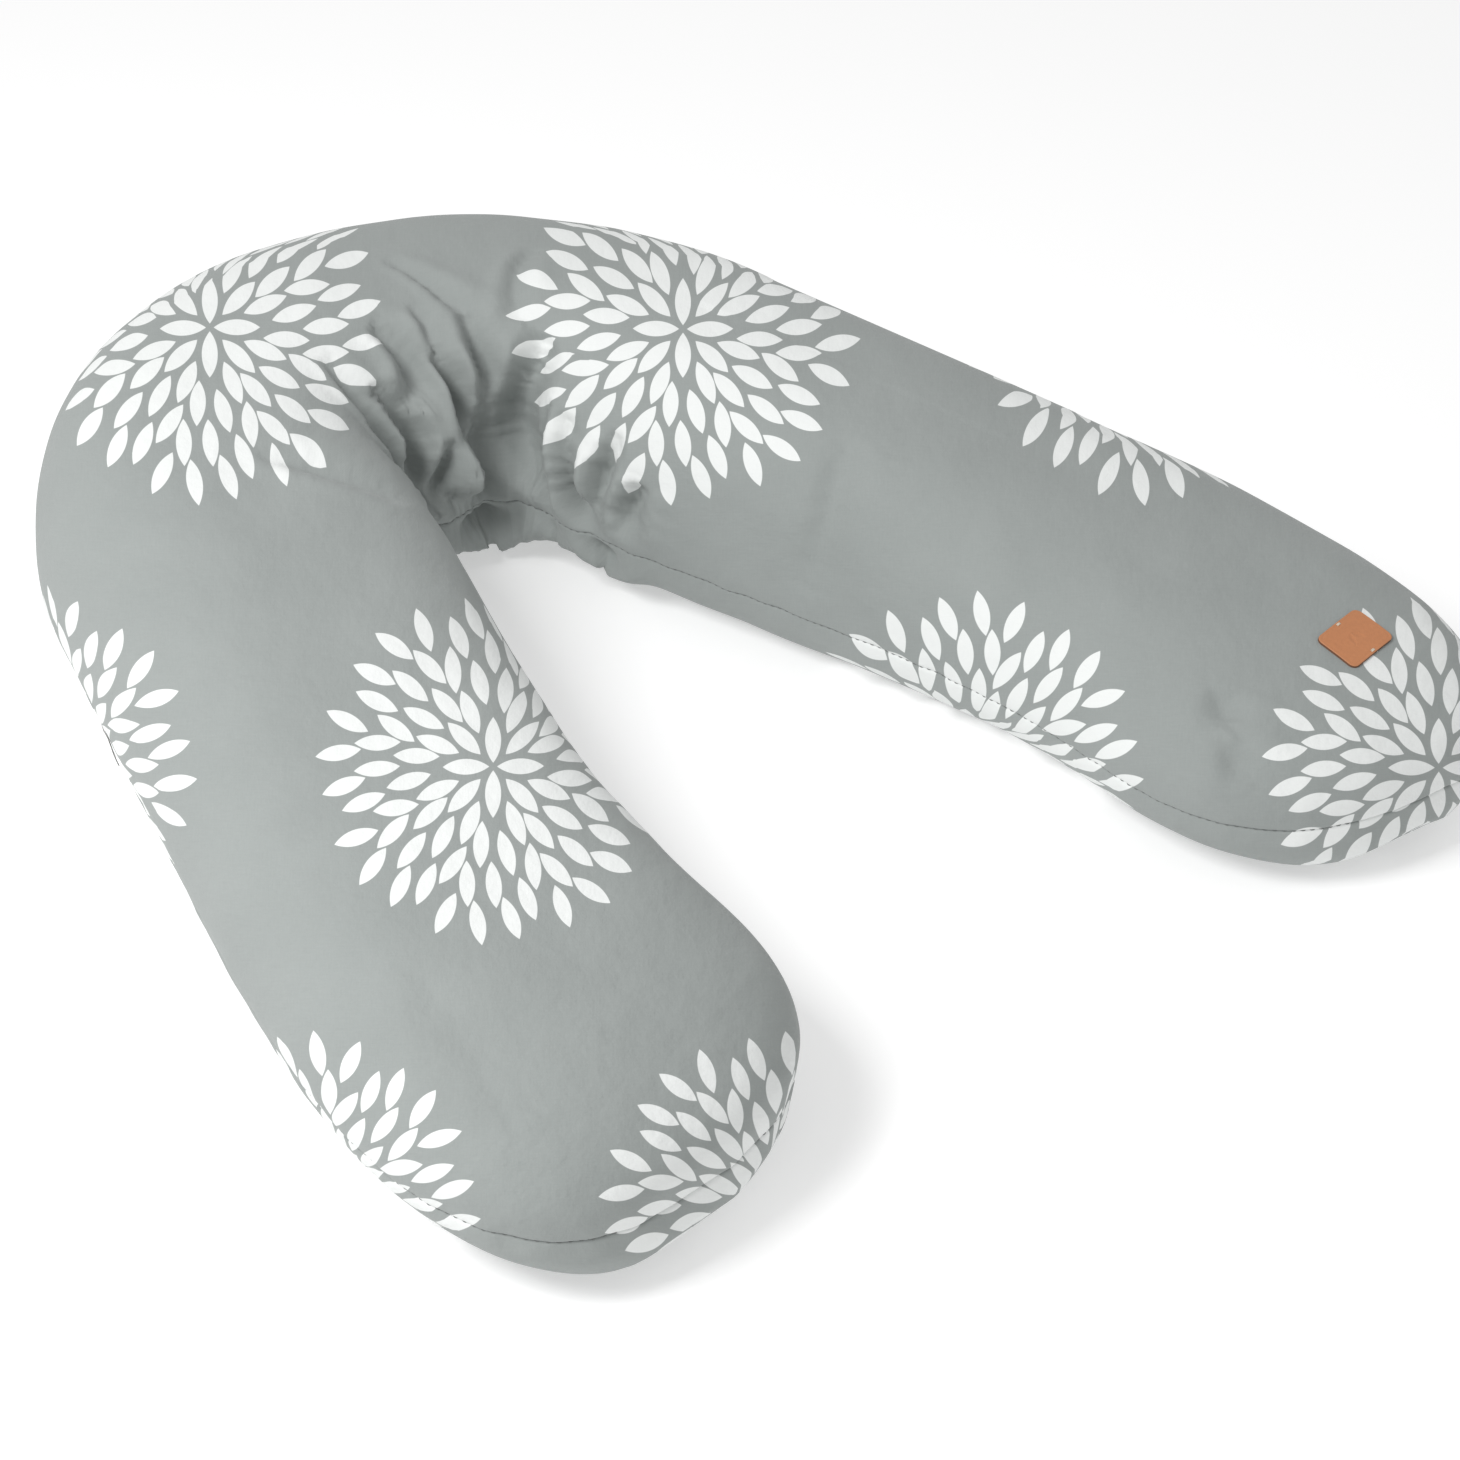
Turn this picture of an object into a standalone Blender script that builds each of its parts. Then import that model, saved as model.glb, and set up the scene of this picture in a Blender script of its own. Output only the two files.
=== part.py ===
"""Nursing pillow: a V-shaped bead cushion in a removable, zipped cotton cover.

The pillow lies on its flat base.  Its centre-line runs from the left toe up the left leg, round
the crown and down the right leg, and the V opens towards -Y.  Cover, inner cushion and filling
are one lofted form, each layer inset from the one outside it by a named amount.  Every section
of that form is cut square to the centre-line: a domed top, a short straight band on each side
that carries the perimeter seam, and a base that flattens on the surface below.
Metres, +Z up.  The origin is at the middle of the base of the whole pillow.
"""
import math
from collections import namedtuple

import bmesh
import bpy
import numpy as np
from mathutils import Matrix, Vector
from mathutils.bvhtree import BVHTree

# ---------------------------------------------------------------- driving dimensions
# Plan of the centre-line, from the middle of the crown to a toe
CROWN_RADIUS = 0.203
CROWN_EASE = 0.030
LEG_SPREAD = math.radians(13.0)
LEG_STRAIGHT = 0.302
TOE_LENGTH = 0.366
TOE_TURN = math.radians(18.5)
TOE_RAMP = 0.3

# Half widths of the form, from the centre-line to its outer and its inner side
OUTER_HALF_CROWN = 0.165
OUTER_HALF_LEG = 0.128
INNER_HALF_CROWN = 0.143
INNER_HALF_SHOULDER = 0.129
INNER_HALF_LEG = 0.147
INNER_HALF_SHIN = 0.133
INNER_HALF_TOE = 0.165

# Heights, and the shape of a section
HEIGHT_CROWN = 0.210
HEIGHT_LEG = 0.184
HEIGHT_TOE = 0.133
EQUATOR_HEIGHT = 0.072
BAND_DROP = 0.032
BASE_ROUNDNESS = 1.30
SIDE_POWER = 3.1
TOP_POWER = 2.0
TOE_ROUND = 0.200
TOE_POWER_INNER = 2.6
TOE_POWER_OUTER = 2.8
TOE_HEIGHT_FADE = 1.1

# Fabric, seams and the gaps between layers
COVER_THICKNESS = 0.0006
LINER_THICKNESS = 0.0005
LAYER_GAP = 0.0009
BASE_GAP = 0.0003
SEAM_GAP = 0.0003
THREAD_GAP = 0.0003
THREAD_THICKNESS = 0.0003
FILLING_SLACK = 0.0006
COVER_THREAD_WIDTH = 0.0080
LINER_THREAD_WIDTH = 0.0060
CLOSING_STITCH_LENGTH = 0.180
CLOSING_GAP = 0.0030

# Zip: a nylon coil zip in the seam on the outer side of the right leg
ZIP_LENGTH = 0.270
ZIP_TAPER = 0.012
ZIP_RECESS = 0.0025
TAPE_WIDTH = 0.0130
TAPE_THICKNESS = 0.0005
TAPE_BEHIND_COVER = 0.0004
TAPE_TAIL = 0.010
CHAIN_SLOT_HALF = 0.0007
COIL_WIDTH = 0.0025
COIL_THICKNESS = 0.0016
COIL_ON_TAPE = 0.0001
STOP_LENGTH = 0.0030
STOP_PROUD = 0.0004
STITCH_SETBACK = 0.0025
STITCH_THICKNESS = 0.0004
STITCH_ON_COVER = 0.0001
TACK_WIDTH = 0.0020
TACK_OVERHANG = 0.0015
TACK_THICKNESS = 0.0008

# Slider and pull tab
SLIDER_LENGTH = 0.0125
SLIDER_SIDE_CLEARANCE = 0.0002
SLIDER_FLARE = 0.0007
SLIDER_SLOT_CLEARANCE = 0.0006
SLIDER_PLATE = 0.0012
SLIDER_CHAMFER = 0.3
SLIDER_CLEARANCE = 0.0003
SLIDER_FLANGE = 0.0006
SLIDER_FLANGE_DROP = 0.0012
SLIDER_WEB_HALF = 0.00035
SLIDER_WEB_LENGTH = 0.0035
BRIDGE_HALF_LENGTH = 0.0045
BRIDGE_HALF_WIDTH = 0.0015
BRIDGE_POST = 0.0012
BRIDGE_OPENING = 0.0021
BRIDGE_BAR = 0.0010
TAB_LENGTH = 0.0250
TAB_HALF_WIDTH = 0.0036
TAB_THICKNESS = 0.0012
TAB_BAR = 0.00065
TAB_EYE_CLEARANCE = 0.0006
TAB_HOLE_RADIUS = 0.0013
JOIN_OVERLAP = 0.0002
COIL_ROUNDING = 0.0005
STOP_ROUNDING = 0.0003
FINE_ROUNDING = 0.0002

# Leather patch and its two thread tacks, on the outer side of the right toe
PATCH_LENGTH = 0.046
PATCH_WIDTH = 0.033
PATCH_CORNER = 0.0050
PATCH_THICKNESS = 0.0018
PATCH_ON_COVER = 0.0003
PATCH_CENTRE = (0.313, -0.746)
PATCH_TURN = math.radians(9.5)
PATCH_TACK_LENGTH = 0.0040
PATCH_TACK_WIDTH = 0.0010
PATCH_TACK_SETBACK = 0.0020
PATCH_TACK_THICKNESS = 0.0005

# Care labels: one in the cover's seam on the left leg, one in the liner's seam behind the zip
LABEL_WIDTH = 0.030
COVER_LABEL_LENGTH = 0.022
LINER_LABEL_LENGTH = 0.013
LABEL_THICKNESS = 0.0003
LABEL_ON_FABRIC = 0.0002
LABEL_BEFORE_MIDDLE = 0.070

# Fineness of the loft
PATH_STEPS = 900
CROWN_STATIONS = 7
ROUND_STATIONS = 6
SHIN_STATION = 0.35
TOP_SEGMENTS = 8
FINE_STATIONS = 80
FINE_SEGMENTS = 64
ROUNDING_SLACK = 1e-6
SMOOTH_BELOW = math.radians(40.0)
BEVEL_ABOVE = math.radians(50.0)
ABOVE_PILLOW = 1.0
ABOVE_PATCH = 0.05

CROWN_TURN = math.pi / 2 - LEG_SPREAD
CROWN_ARC = CROWN_TURN * CROWN_RADIUS - CROWN_EASE / 2
STRAIGHT_START = CROWN_ARC + CROWN_EASE
STRAIGHT_END = STRAIGHT_START + LEG_STRAIGHT
TOE_END = STRAIGHT_END + TOE_LENGTH
ROUND_START = TOE_END - TOE_ROUND
COIL_EDGE = CHAIN_SLOT_HALF + COIL_WIDTH
SLIDER_HALF_BACK = COIL_EDGE + SLIDER_SIDE_CLEARANCE + SLIDER_FLANGE
SLIDER_HALF_FRONT = SLIDER_HALF_BACK + SLIDER_FLARE
ZIP_SLOT_HALF = SLIDER_HALF_FRONT + SLIDER_SLOT_CLEARANCE
ZIP_MIDDLE = STRAIGHT_START + LEG_STRAIGHT / 2
ZIP_START = ZIP_MIDDLE - ZIP_LENGTH / 2
ZIP_END = ZIP_MIDDLE + ZIP_LENGTH / 2
BASE_DEPTH = EQUATOR_HEIGHT * BASE_ROUNDNESS

Layer = namedtuple("Layer", "side top base")
Station = namedtuple("Station", "leg distance round_fraction")


def inset_layer(depth, base):
    return Layer(depth, depth, base)


COVER_OUTSIDE = inset_layer(0.0, 0.0)
COVER_INSIDE = inset_layer(COVER_THICKNESS, COVER_THICKNESS)
LINER_DEPTH = COVER_THICKNESS + LAYER_GAP
LINER_BASE = COVER_THICKNESS + BASE_GAP
LINER_OUTSIDE = inset_layer(LINER_DEPTH, LINER_BASE)
LINER_INSIDE = inset_layer(LINER_DEPTH + LINER_THICKNESS, LINER_BASE + LINER_THICKNESS)
FILLING_DEPTH = LINER_DEPTH + LINER_THICKNESS + THREAD_GAP + THREAD_THICKNESS + FILLING_SLACK
FILLING_SKIN = inset_layer(FILLING_DEPTH, LINER_BASE + LINER_THICKNESS + BASE_GAP)


# ---------------------------------------------------------------- centre-line
def ease(fraction):
    """A smooth step from 0 to 1."""
    return 0.5 * (1.0 - np.cos(np.pi * np.clip(fraction, 0.0, 1.0)))


def integrate(values, distances):
    """Running integral of values over distances, starting at 0."""
    steps = 0.5 * (values[1:] + values[:-1]) * np.diff(distances)
    return np.concatenate([[0.0], np.cumsum(steps)])


def plan_path():
    """Distances along half the centre-line, with x, y and heading at each of them."""
    distances = np.linspace(0.0, TOE_END, PATH_STEPS)
    crown = (1.0 - ease((distances - CROWN_ARC) / CROWN_EASE)) / CROWN_RADIUS
    ramp_length = TOE_RAMP * TOE_LENGTH
    toe_bend = TOE_TURN / (TOE_LENGTH - ramp_length / 2)
    toe = toe_bend * np.clip((distances - STRAIGHT_END) / ramp_length, 0.0, 1.0)
    heading = -integrate(crown + toe, distances)
    x = integrate(np.cos(heading), distances)
    y = integrate(np.sin(heading), distances)
    return distances, x, y, heading


PATH = plan_path()


def path_point(distance):
    """x, y and heading of the centre-line at a distance from the crown."""
    return [float(np.interp(distance, PATH[0], column)) for column in PATH[1:]]


def smooth_through(knots, at):
    """Cubic curve through (distance, value) knots, with no overshoot between them."""
    places = [knot[0] for knot in knots]
    values = [knot[1] for knot in knots]
    slopes = [(values[i + 1] - values[i]) / (places[i + 1] - places[i]) for i in range(len(knots) - 1)]
    tangents = [0.0]
    for before, after in zip(slopes, slopes[1:]):
        tangents.append(2 * before * after / (before + after) if before * after > 0 else 0.0)
    tangents.append(slopes[-1])
    i = min(max(int(np.searchsorted(places, at)) - 1, 0), len(slopes) - 1)
    span = places[i + 1] - places[i]
    f = min(max((at - places[i]) / span, 0.0), 1.0)
    rise = values[i + 1] - values[i]
    curve = f * f * (3 - 2 * f) * rise
    return values[i] + curve + span * f * (1 - f) * ((1 - f) * tangents[i] - f * tangents[i + 1])


# ---------------------------------------------------------------- stations and sections
def half_stations():
    """(distance, round fraction) pairs from the middle of the crown to a toe."""
    crown = [(STRAIGHT_START * i / CROWN_STATIONS, 0.0) for i in range(CROWN_STATIONS)]
    leg = [(ZIP_START - ZIP_TAPER, 0.0), (ZIP_START, 0.0), (ZIP_MIDDLE, 0.0),
           (ZIP_END, 0.0), (ZIP_END + ZIP_TAPER, 0.0)]
    shin = [(STRAIGHT_END + (ROUND_START - STRAIGHT_END) * f, 0.0) for f in (SHIN_STATION, 1.0)]
    toe = []
    for i in range(1, ROUND_STATIONS + 1):
        angle = 0.5 * math.pi * i / ROUND_STATIONS
        fraction = 1.0 if i == ROUND_STATIONS else math.sin(angle) ** (2.0 / TOE_POWER_INNER)
        toe.append((ROUND_START + TOE_ROUND * fraction, fraction))
    return crown + leg + shin + toe


def whole_stations():
    """Stations from the left toe over the crown to the right toe."""
    half = half_stations()
    left = [Station(-1, distance, fraction) for distance, fraction in reversed(half[1:])]
    right = [Station(1, distance, fraction) for distance, fraction in half]
    return left + right


STATIONS = whole_stations()


def in_zip(station):
    """True where the right leg's outer seam is open for the zip."""
    return station.leg > 0 and abs(station.distance - ZIP_MIDDLE) <= ZIP_LENGTH / 2 + ROUNDING_SLACK


def outer_half(distance):
    fade = float(ease(distance / STRAIGHT_START))
    return OUTER_HALF_CROWN + (OUTER_HALF_LEG - OUTER_HALF_CROWN) * fade


def inner_half(distance):
    knots = [(0.0, INNER_HALF_CROWN), (0.5 * STRAIGHT_START, INNER_HALF_SHOULDER),
             (STRAIGHT_START, INNER_HALF_LEG), (STRAIGHT_END, INNER_HALF_SHIN),
             (TOE_END, INNER_HALF_TOE)]
    return smooth_through(knots, distance)


def height(distance):
    knots = [(0.0, HEIGHT_CROWN), (0.5 * TOE_END, HEIGHT_LEG), (TOE_END, HEIGHT_TOE)]
    return smooth_through(knots, distance)


def round_off(fraction, power):
    """Share of the full width or height that is left at a fraction of the rounded toe."""
    return max(0.0, 1.0 - fraction ** power) ** (1.0 / power)


def layer_distance(station, layer):
    """Distance of a station on a layer, whose rounded toe is shorter by its inset."""
    if station.round_fraction == 0.0:
        return station.distance
    return ROUND_START + (TOE_ROUND - layer.side) * station.round_fraction


def dome(segments):
    """Top of the section in unit form, from the outer to the inner equator."""
    columns = []
    for i in range(segments + 1):
        angle = math.pi * i / segments
        lean = 0.0 if i * 2 == segments else math.cos(angle)
        side = math.copysign(abs(lean) ** (2.0 / SIDE_POWER), lean)
        rise = 0.0 if i in (0, segments) else math.sin(angle) ** (2.0 / TOP_POWER)
        columns.append((side, rise, 0.0))
    return columns


def profile():
    """Section in unit form: (side, rise, drop) for each column, once round the section."""
    columns = dome(TOP_SEGMENTS)
    band = BAND_DROP / BASE_DEPTH
    floor = EQUATOR_HEIGHT / BASE_DEPTH
    curve = [band, 0.5 * (band + floor), floor]
    inner = [(-math.sqrt(1.0 - drop * drop), 0.0, drop) for drop in curve]
    outer = [(-side, 0.0, drop) for side, rise, drop in reversed(inner)]
    return columns + inner + [(0.0, 0.0, floor)] + outer


PROFILE = profile()


def section(station, layer, columns=tuple(PROFILE)):
    """Ring of points round one section of a layer, from the outer equator over the top."""
    distance = layer_distance(station, layer)
    x, y, heading = path_point(distance)
    across = Vector((-math.sin(heading), math.cos(heading), 0.0))
    outer = (outer_half(distance) - layer.side) * round_off(station.round_fraction, TOE_POWER_OUTER)
    inner = (inner_half(distance) - layer.side) * round_off(station.round_fraction, TOE_POWER_INNER)
    power = 0.5 * (TOE_POWER_INNER + TOE_POWER_OUTER)
    fade = round_off(station.round_fraction, power) ** TOE_HEIGHT_FADE
    rise_height = (height(distance) - EQUATOR_HEIGHT - layer.top) * fade
    recess = ZIP_RECESS if in_zip(station) and layer.side > COVER_THICKNESS else 0.0
    ring = []
    for number, (side, rise, drop) in enumerate(columns):
        reach = outer if side > 0.0 else inner
        if number in (0, len(columns) - 1):
            reach = reach - recess
        z = EQUATOR_HEIGHT + rise * rise_height
        if drop > 0.0:
            below_band = max(0.0, drop * BASE_DEPTH - BAND_DROP) * fade
            lowest = layer.base + (EQUATOR_HEIGHT - BAND_DROP) * (1.0 - fade)
            z = max(lowest, EQUATOR_HEIGHT - BAND_DROP - below_band)
        place = Vector((x, y, z)) + across * (reach * side)
        place.x *= station.leg
        ring.append(place)
    return ring


def on_band(station, layer, outer_side, along):
    """Point of the seam band, `along` metres above its middle."""
    ring = section(station, layer)
    equator, low = (ring[0], ring[-1]) if outer_side else (ring[TOP_SEGMENTS], ring[TOP_SEGMENTS + 1])
    middle = 0.5 * (equator + low)
    return middle + (equator - low).normalized() * along


def slot_half(station, outer_side):
    """Half the opening between the two panels at the seam."""
    if outer_side and in_zip(station):
        return ZIP_SLOT_HALF
    return SEAM_GAP / 2


# ---------------------------------------------------------------- mesh helpers
class Skin:
    """Collects triangles, merges points that coincide and drops faces with no area."""

    def __init__(self):
        self.points = []
        self.faces = []
        self.numbers = {}

    def number(self, point):
        key = tuple(round(value, 7) for value in point)
        if key not in self.numbers:
            self.numbers[key] = len(self.points)
            self.points.append(key)
        return self.numbers[key]

    def quad(self, a, b, c, d):
        corners = [self.number(point) for point in (a, b, c, d)]
        for triangle in ((corners[0], corners[1], corners[2]), (corners[0], corners[2], corners[3])):
            if len(set(triangle)) == 3:
                self.faces.append(triangle)

    def grid(self, rows, ring=False):
        columns = len(rows[0])
        last = columns if ring else columns - 1
        for near, far in zip(rows, rows[1:]):
            for i in range(last):
                j = (i + 1) % columns
                self.quad(near[i], near[j], far[j], far[i])

    def cap(self, row):
        for i in range(1, len(row) - 1):
            self.quad(row[0], row[i], row[i + 1], row[i + 1])

    def build(self, name, material, smooth=True):
        mesh = bpy.data.meshes.new(name)
        shape = bmesh.new()
        corners = [shape.verts.new(point) for point in self.points]
        for face in self.faces:
            shape.faces.new([corners[number] for number in face])
        bmesh.ops.recalc_face_normals(shape, faces=shape.faces)
        shape.to_mesh(mesh)
        shape.free()
        if smooth:
            mesh.shade_smooth()
            mesh.set_sharp_from_angle(angle=SMOOTH_BELOW)
        return add_object(name, mesh, material)


def add_object(name, mesh, material):
    body = bpy.data.objects.new(name, mesh)
    body.data.materials.append(material)
    bpy.context.scene.collection.objects.link(body)
    return body


def material(name, colour, roughness, metallic=0.0):
    finish = bpy.data.materials.new(name)
    finish.use_nodes = True
    shader = finish.node_tree.nodes["Principled BSDF"]
    shader.inputs["Base Color"].default_value = (*colour, 1.0)
    shader.inputs["Roughness"].default_value = roughness
    shader.inputs["Metallic"].default_value = metallic
    return finish


def bevelled(body, width):
    edge = body.modifiers.new("edge", "BEVEL")
    edge.width = width
    edge.segments = 1
    edge.limit_method = "ANGLE"
    edge.angle_limit = BEVEL_ABOVE
    return body


def prism(outline, low, high):
    """Mesh of an outline of (u, v) points extruded from low to high along the third axis."""
    shape = bmesh.new()
    base = [shape.verts.new((u, v, low)) for u, v in outline]
    face = shape.faces.new(base)
    raised = bmesh.ops.extrude_face_region(shape, geom=[face])
    tops = [item for item in raised["geom"] if isinstance(item, bmesh.types.BMVert)]
    bmesh.ops.translate(shape, verts=tops, vec=(0.0, 0.0, high - low))
    bmesh.ops.recalc_face_normals(shape, faces=shape.faces)
    mesh = bpy.data.meshes.new("prism")
    shape.to_mesh(mesh)
    shape.free()
    return mesh


def rectangle(u_low, u_high, v_low, v_high):
    return [(u_low, v_low), (u_high, v_low), (u_high, v_high), (u_low, v_high)]


def disc(radius, centre_u, sides=16):
    angles = [2.0 * math.pi * i / sides for i in range(sides)]
    return [(centre_u + radius * math.cos(angle), radius * math.sin(angle)) for angle in angles]


def boolean(body, tool_mesh, operation):
    """Joins a tool shape to a body, or cuts it out; the tool stays as a hidden guide."""
    tool = bpy.data.objects.new(body.name + "_tool", tool_mesh)
    bpy.context.scene.collection.objects.link(tool)
    tool.parent = body
    tool.hide_render = True
    tool.display_type = "WIRE"
    change = body.modifiers.new(operation.lower(), "BOOLEAN")
    change.operation = operation
    change.object = tool
    change.solver = "EXACT"


# ---------------------------------------------------------------- fabric layers
def panel_row(station, layer, upper):
    """One row of a panel, from seam edge to seam edge, in the order of the section's ring."""
    ring = section(station, layer)
    sign = 1.0 if upper else -1.0
    outer_edge = on_band(station, layer, True, sign * slot_half(station, True))
    inner_edge = on_band(station, layer, False, sign * slot_half(station, False))
    if upper:
        return [outer_edge] + ring[:TOP_SEGMENTS + 1] + [inner_edge]
    return [inner_edge] + ring[TOP_SEGMENTS + 1:] + [outer_edge]


def panel(name, outside, inside, upper, finish):
    """A cut fabric panel: the upper or the lower half of a layer, with its thickness."""
    outer_rows = [panel_row(station, outside, upper) for station in STATIONS]
    inner_rows = [panel_row(station, inside, upper) for station in STATIONS]
    skin = Skin()
    skin.grid(outer_rows)
    skin.grid(inner_rows)
    for edge in (0, -1):
        skin.grid([[outer[edge], inner[edge]] for outer, inner in zip(outer_rows, inner_rows)])
    return skin.build(name, finish)


def filling(name, layer, finish):
    skin = Skin()
    skin.grid([section(station, layer) for station in STATIONS], ring=True)
    return skin.build(name, finish)


def seam_thread(name, route, depth, width, finish):
    """Overlock thread inside a seam: a flat strip along a route of (station, outer side)."""
    near = inset_layer(depth, 0.0)
    far = inset_layer(depth + THREAD_THICKNESS, 0.0)
    rows = []
    for station, outer_side in route:
        corners = [(near, width / 2), (near, -width / 2), (far, -width / 2), (far, width / 2)]
        rows.append([on_band(station, layer, outer_side, along) for layer, along in corners])
    skin = Skin()
    skin.grid(rows, ring=True)
    skin.cap(rows[0])
    skin.cap(rows[-1])
    return skin.build(name, finish, smooth=False)


def seam_loop():
    """Every station of the perimeter seam: outer side to the right toe, then the inner side back."""
    outer = [(station, True) for station in STATIONS[1:-1]]
    inner = [(station, False) for station in reversed(STATIONS)]
    return outer + inner


def route_between(loop, start, end):
    """Part of the seam loop from index start to index end, going round past its end."""
    count = len(loop)
    return [loop[(start + i) % count] for i in range((end - start) % count + 1)]


def cover_thread_route():
    """The cover's seam, all the way round from one end of the zip to the other."""
    loop = seam_loop()
    at_zip = [i for i, (station, outer_side) in enumerate(loop) if outer_side and in_zip(station)]
    return route_between(loop, at_zip[-1] + 1, at_zip[0] - 1)


def closing_span():
    """Distances from the crown of the two ends of the closing stitch, on the left leg's outer side."""
    return ZIP_MIDDLE - CLOSING_STITCH_LENGTH / 2, ZIP_MIDDLE + CLOSING_STITCH_LENGTH / 2


def cut_station(distance):
    return Station(-1, distance, 0.0)


def liner_thread_route():
    """The liner's machine seam, from one end of its closing stitch round to the other."""
    low, high = closing_span()
    kept = [item for item in seam_loop()
            if not (item[1] and item[0].leg < 0 and low < item[0].distance < high)]
    split = next(i for i, item in enumerate(kept)
                 if item[1] and (item[0].leg > 0 or item[0].distance <= low))
    first = (cut_station(low - CLOSING_GAP), True)
    last = (cut_station(high + CLOSING_GAP), True)
    return [first] + kept[split:] + kept[:split] + [last]


# ---------------------------------------------------------------- zip
def zip_frame():
    """Frame of the zip: u towards the crown, v up the seam band, n out of the cover."""
    station = Station(1, ZIP_MIDDLE, 0.0)
    heading = path_point(ZIP_MIDDLE)[2]
    middle = on_band(station, COVER_OUTSIDE, True, 0.0)
    u = Vector((-math.cos(heading), -math.sin(heading), 0.0))
    v = (on_band(station, COVER_OUTSIDE, True, ZIP_SLOT_HALF) - middle).normalized()
    n = u.cross(v)
    frame = Matrix((u, v, n)).transposed().to_4x4()
    frame.translation = middle
    empty = bpy.data.objects.new("zip_frame", None)
    empty.matrix_world = frame
    bpy.context.scene.collection.objects.link(empty)
    return empty


TAPE_TOP = -COVER_THICKNESS - TAPE_BEHIND_COVER
TAPE_BOTTOM = TAPE_TOP - TAPE_THICKNESS
COIL_BOTTOM = TAPE_TOP + COIL_ON_TAPE
COIL_TOP = COIL_BOTTOM + COIL_THICKNESS
CHAIN_HALF = ZIP_LENGTH / 2 - STOP_LENGTH
PLATE_BOTTOM = COIL_TOP + SLIDER_CLEARANCE
PLATE_TOP = PLATE_BOTTOM + SLIDER_PLATE
REAR_TOP = TAPE_BOTTOM - SLIDER_CLEARANCE
REAR_BOTTOM = REAR_TOP - SLIDER_PLATE
HINGE_HEIGHT = PLATE_TOP + BRIDGE_OPENING / 2
SLIDER_REST = -CHAIN_HALF + SLIDER_LENGTH / 2 + SLIDER_CLEARANCE


def on_zip(frame, name, outline, low, high, finish, bevel=0.0):
    """A flat piece of the zip, extruded along n from its (u, v) outline."""
    body = add_object(name, prism(outline, low, high), finish)
    body.parent = frame
    if bevel:
        bevelled(body, bevel)
    return body


def zip_tapes_and_coils(frame, tape_finish, coil_finish):
    for side, name in ((1, "upper"), (-1, "lower")):
        reach = ZIP_LENGTH / 2 + TAPE_TAIL
        v = sorted((side * CHAIN_SLOT_HALF, side * (CHAIN_SLOT_HALF + TAPE_WIDTH)))
        on_zip(frame, "zip_tape_" + name, rectangle(-reach, reach, *v), TAPE_BOTTOM, TAPE_TOP, tape_finish)
        v = sorted((side * CHAIN_SLOT_HALF, side * COIL_EDGE))
        coil = rectangle(-CHAIN_HALF, CHAIN_HALF, *v)
        on_zip(frame, "zip_coil_" + name, coil, COIL_BOTTOM, COIL_TOP, coil_finish, COIL_ROUNDING)


def zip_stops(frame, finish):
    """Two top stops at the closed end, one on each tape, and a bottom stop across both."""
    near = -ZIP_LENGTH / 2
    far = near + STOP_LENGTH - SLIDER_CLEARANCE
    top = COIL_TOP + STOP_PROUD
    for side, name in ((1, "upper"), (-1, "lower")):
        v = sorted((side * CHAIN_SLOT_HALF, side * COIL_EDGE))
        stop = rectangle(near, far, *v)
        on_zip(frame, "zip_top_stop_" + name, stop, COIL_BOTTOM, top, finish, STOP_ROUNDING)
    across = rectangle(-far, -near, -COIL_EDGE, COIL_EDGE)
    on_zip(frame, "zip_bottom_stop", across, COIL_BOTTOM, top, finish, STOP_ROUNDING)


def zip_stitching(frame, finish):
    """Topstitch rows that hold the tapes, and a bar tack across each end of the opening."""
    low = STITCH_ON_COVER
    high = low + STITCH_THICKNESS
    middle = ZIP_SLOT_HALF + STITCH_SETBACK
    for side, name in ((1, "upper"), (-1, "lower")):
        v = sorted((side * (middle - STITCH_THICKNESS / 2), side * (middle + STITCH_THICKNESS / 2)))
        row = rectangle(-ZIP_LENGTH / 2, ZIP_LENGTH / 2, *v)
        on_zip(frame, "zip_stitch_" + name, row, low, high, finish)
    reach = ZIP_SLOT_HALF + TACK_OVERHANG
    for side, name in ((1, "crown"), (-1, "toe")):
        end = side * (ZIP_LENGTH / 2 + TACK_WIDTH)
        u = sorted((end - TACK_WIDTH / 2, end + TACK_WIDTH / 2))
        tack = rectangle(*u, -reach, reach)
        on_zip(frame, "zip_bar_tack_" + name, tack, low, low + TACK_THICKNESS, finish, FINE_ROUNDING)


def slider_outline(margin=0.0):
    """Plan of the slider: wide at its front, narrower where the closed chain leaves."""
    half = SLIDER_LENGTH / 2 - margin
    front = SLIDER_HALF_FRONT - margin
    back = SLIDER_HALF_BACK - margin
    chamfer = SLIDER_CHAMFER * front
    return [(-half, -back + chamfer / 2), (-half + chamfer / 2, -back), (half - chamfer, -front),
            (half, -front + chamfer), (half, front - chamfer), (half - chamfer, front),
            (-half + chamfer / 2, back), (-half, back - chamfer / 2)]


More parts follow.
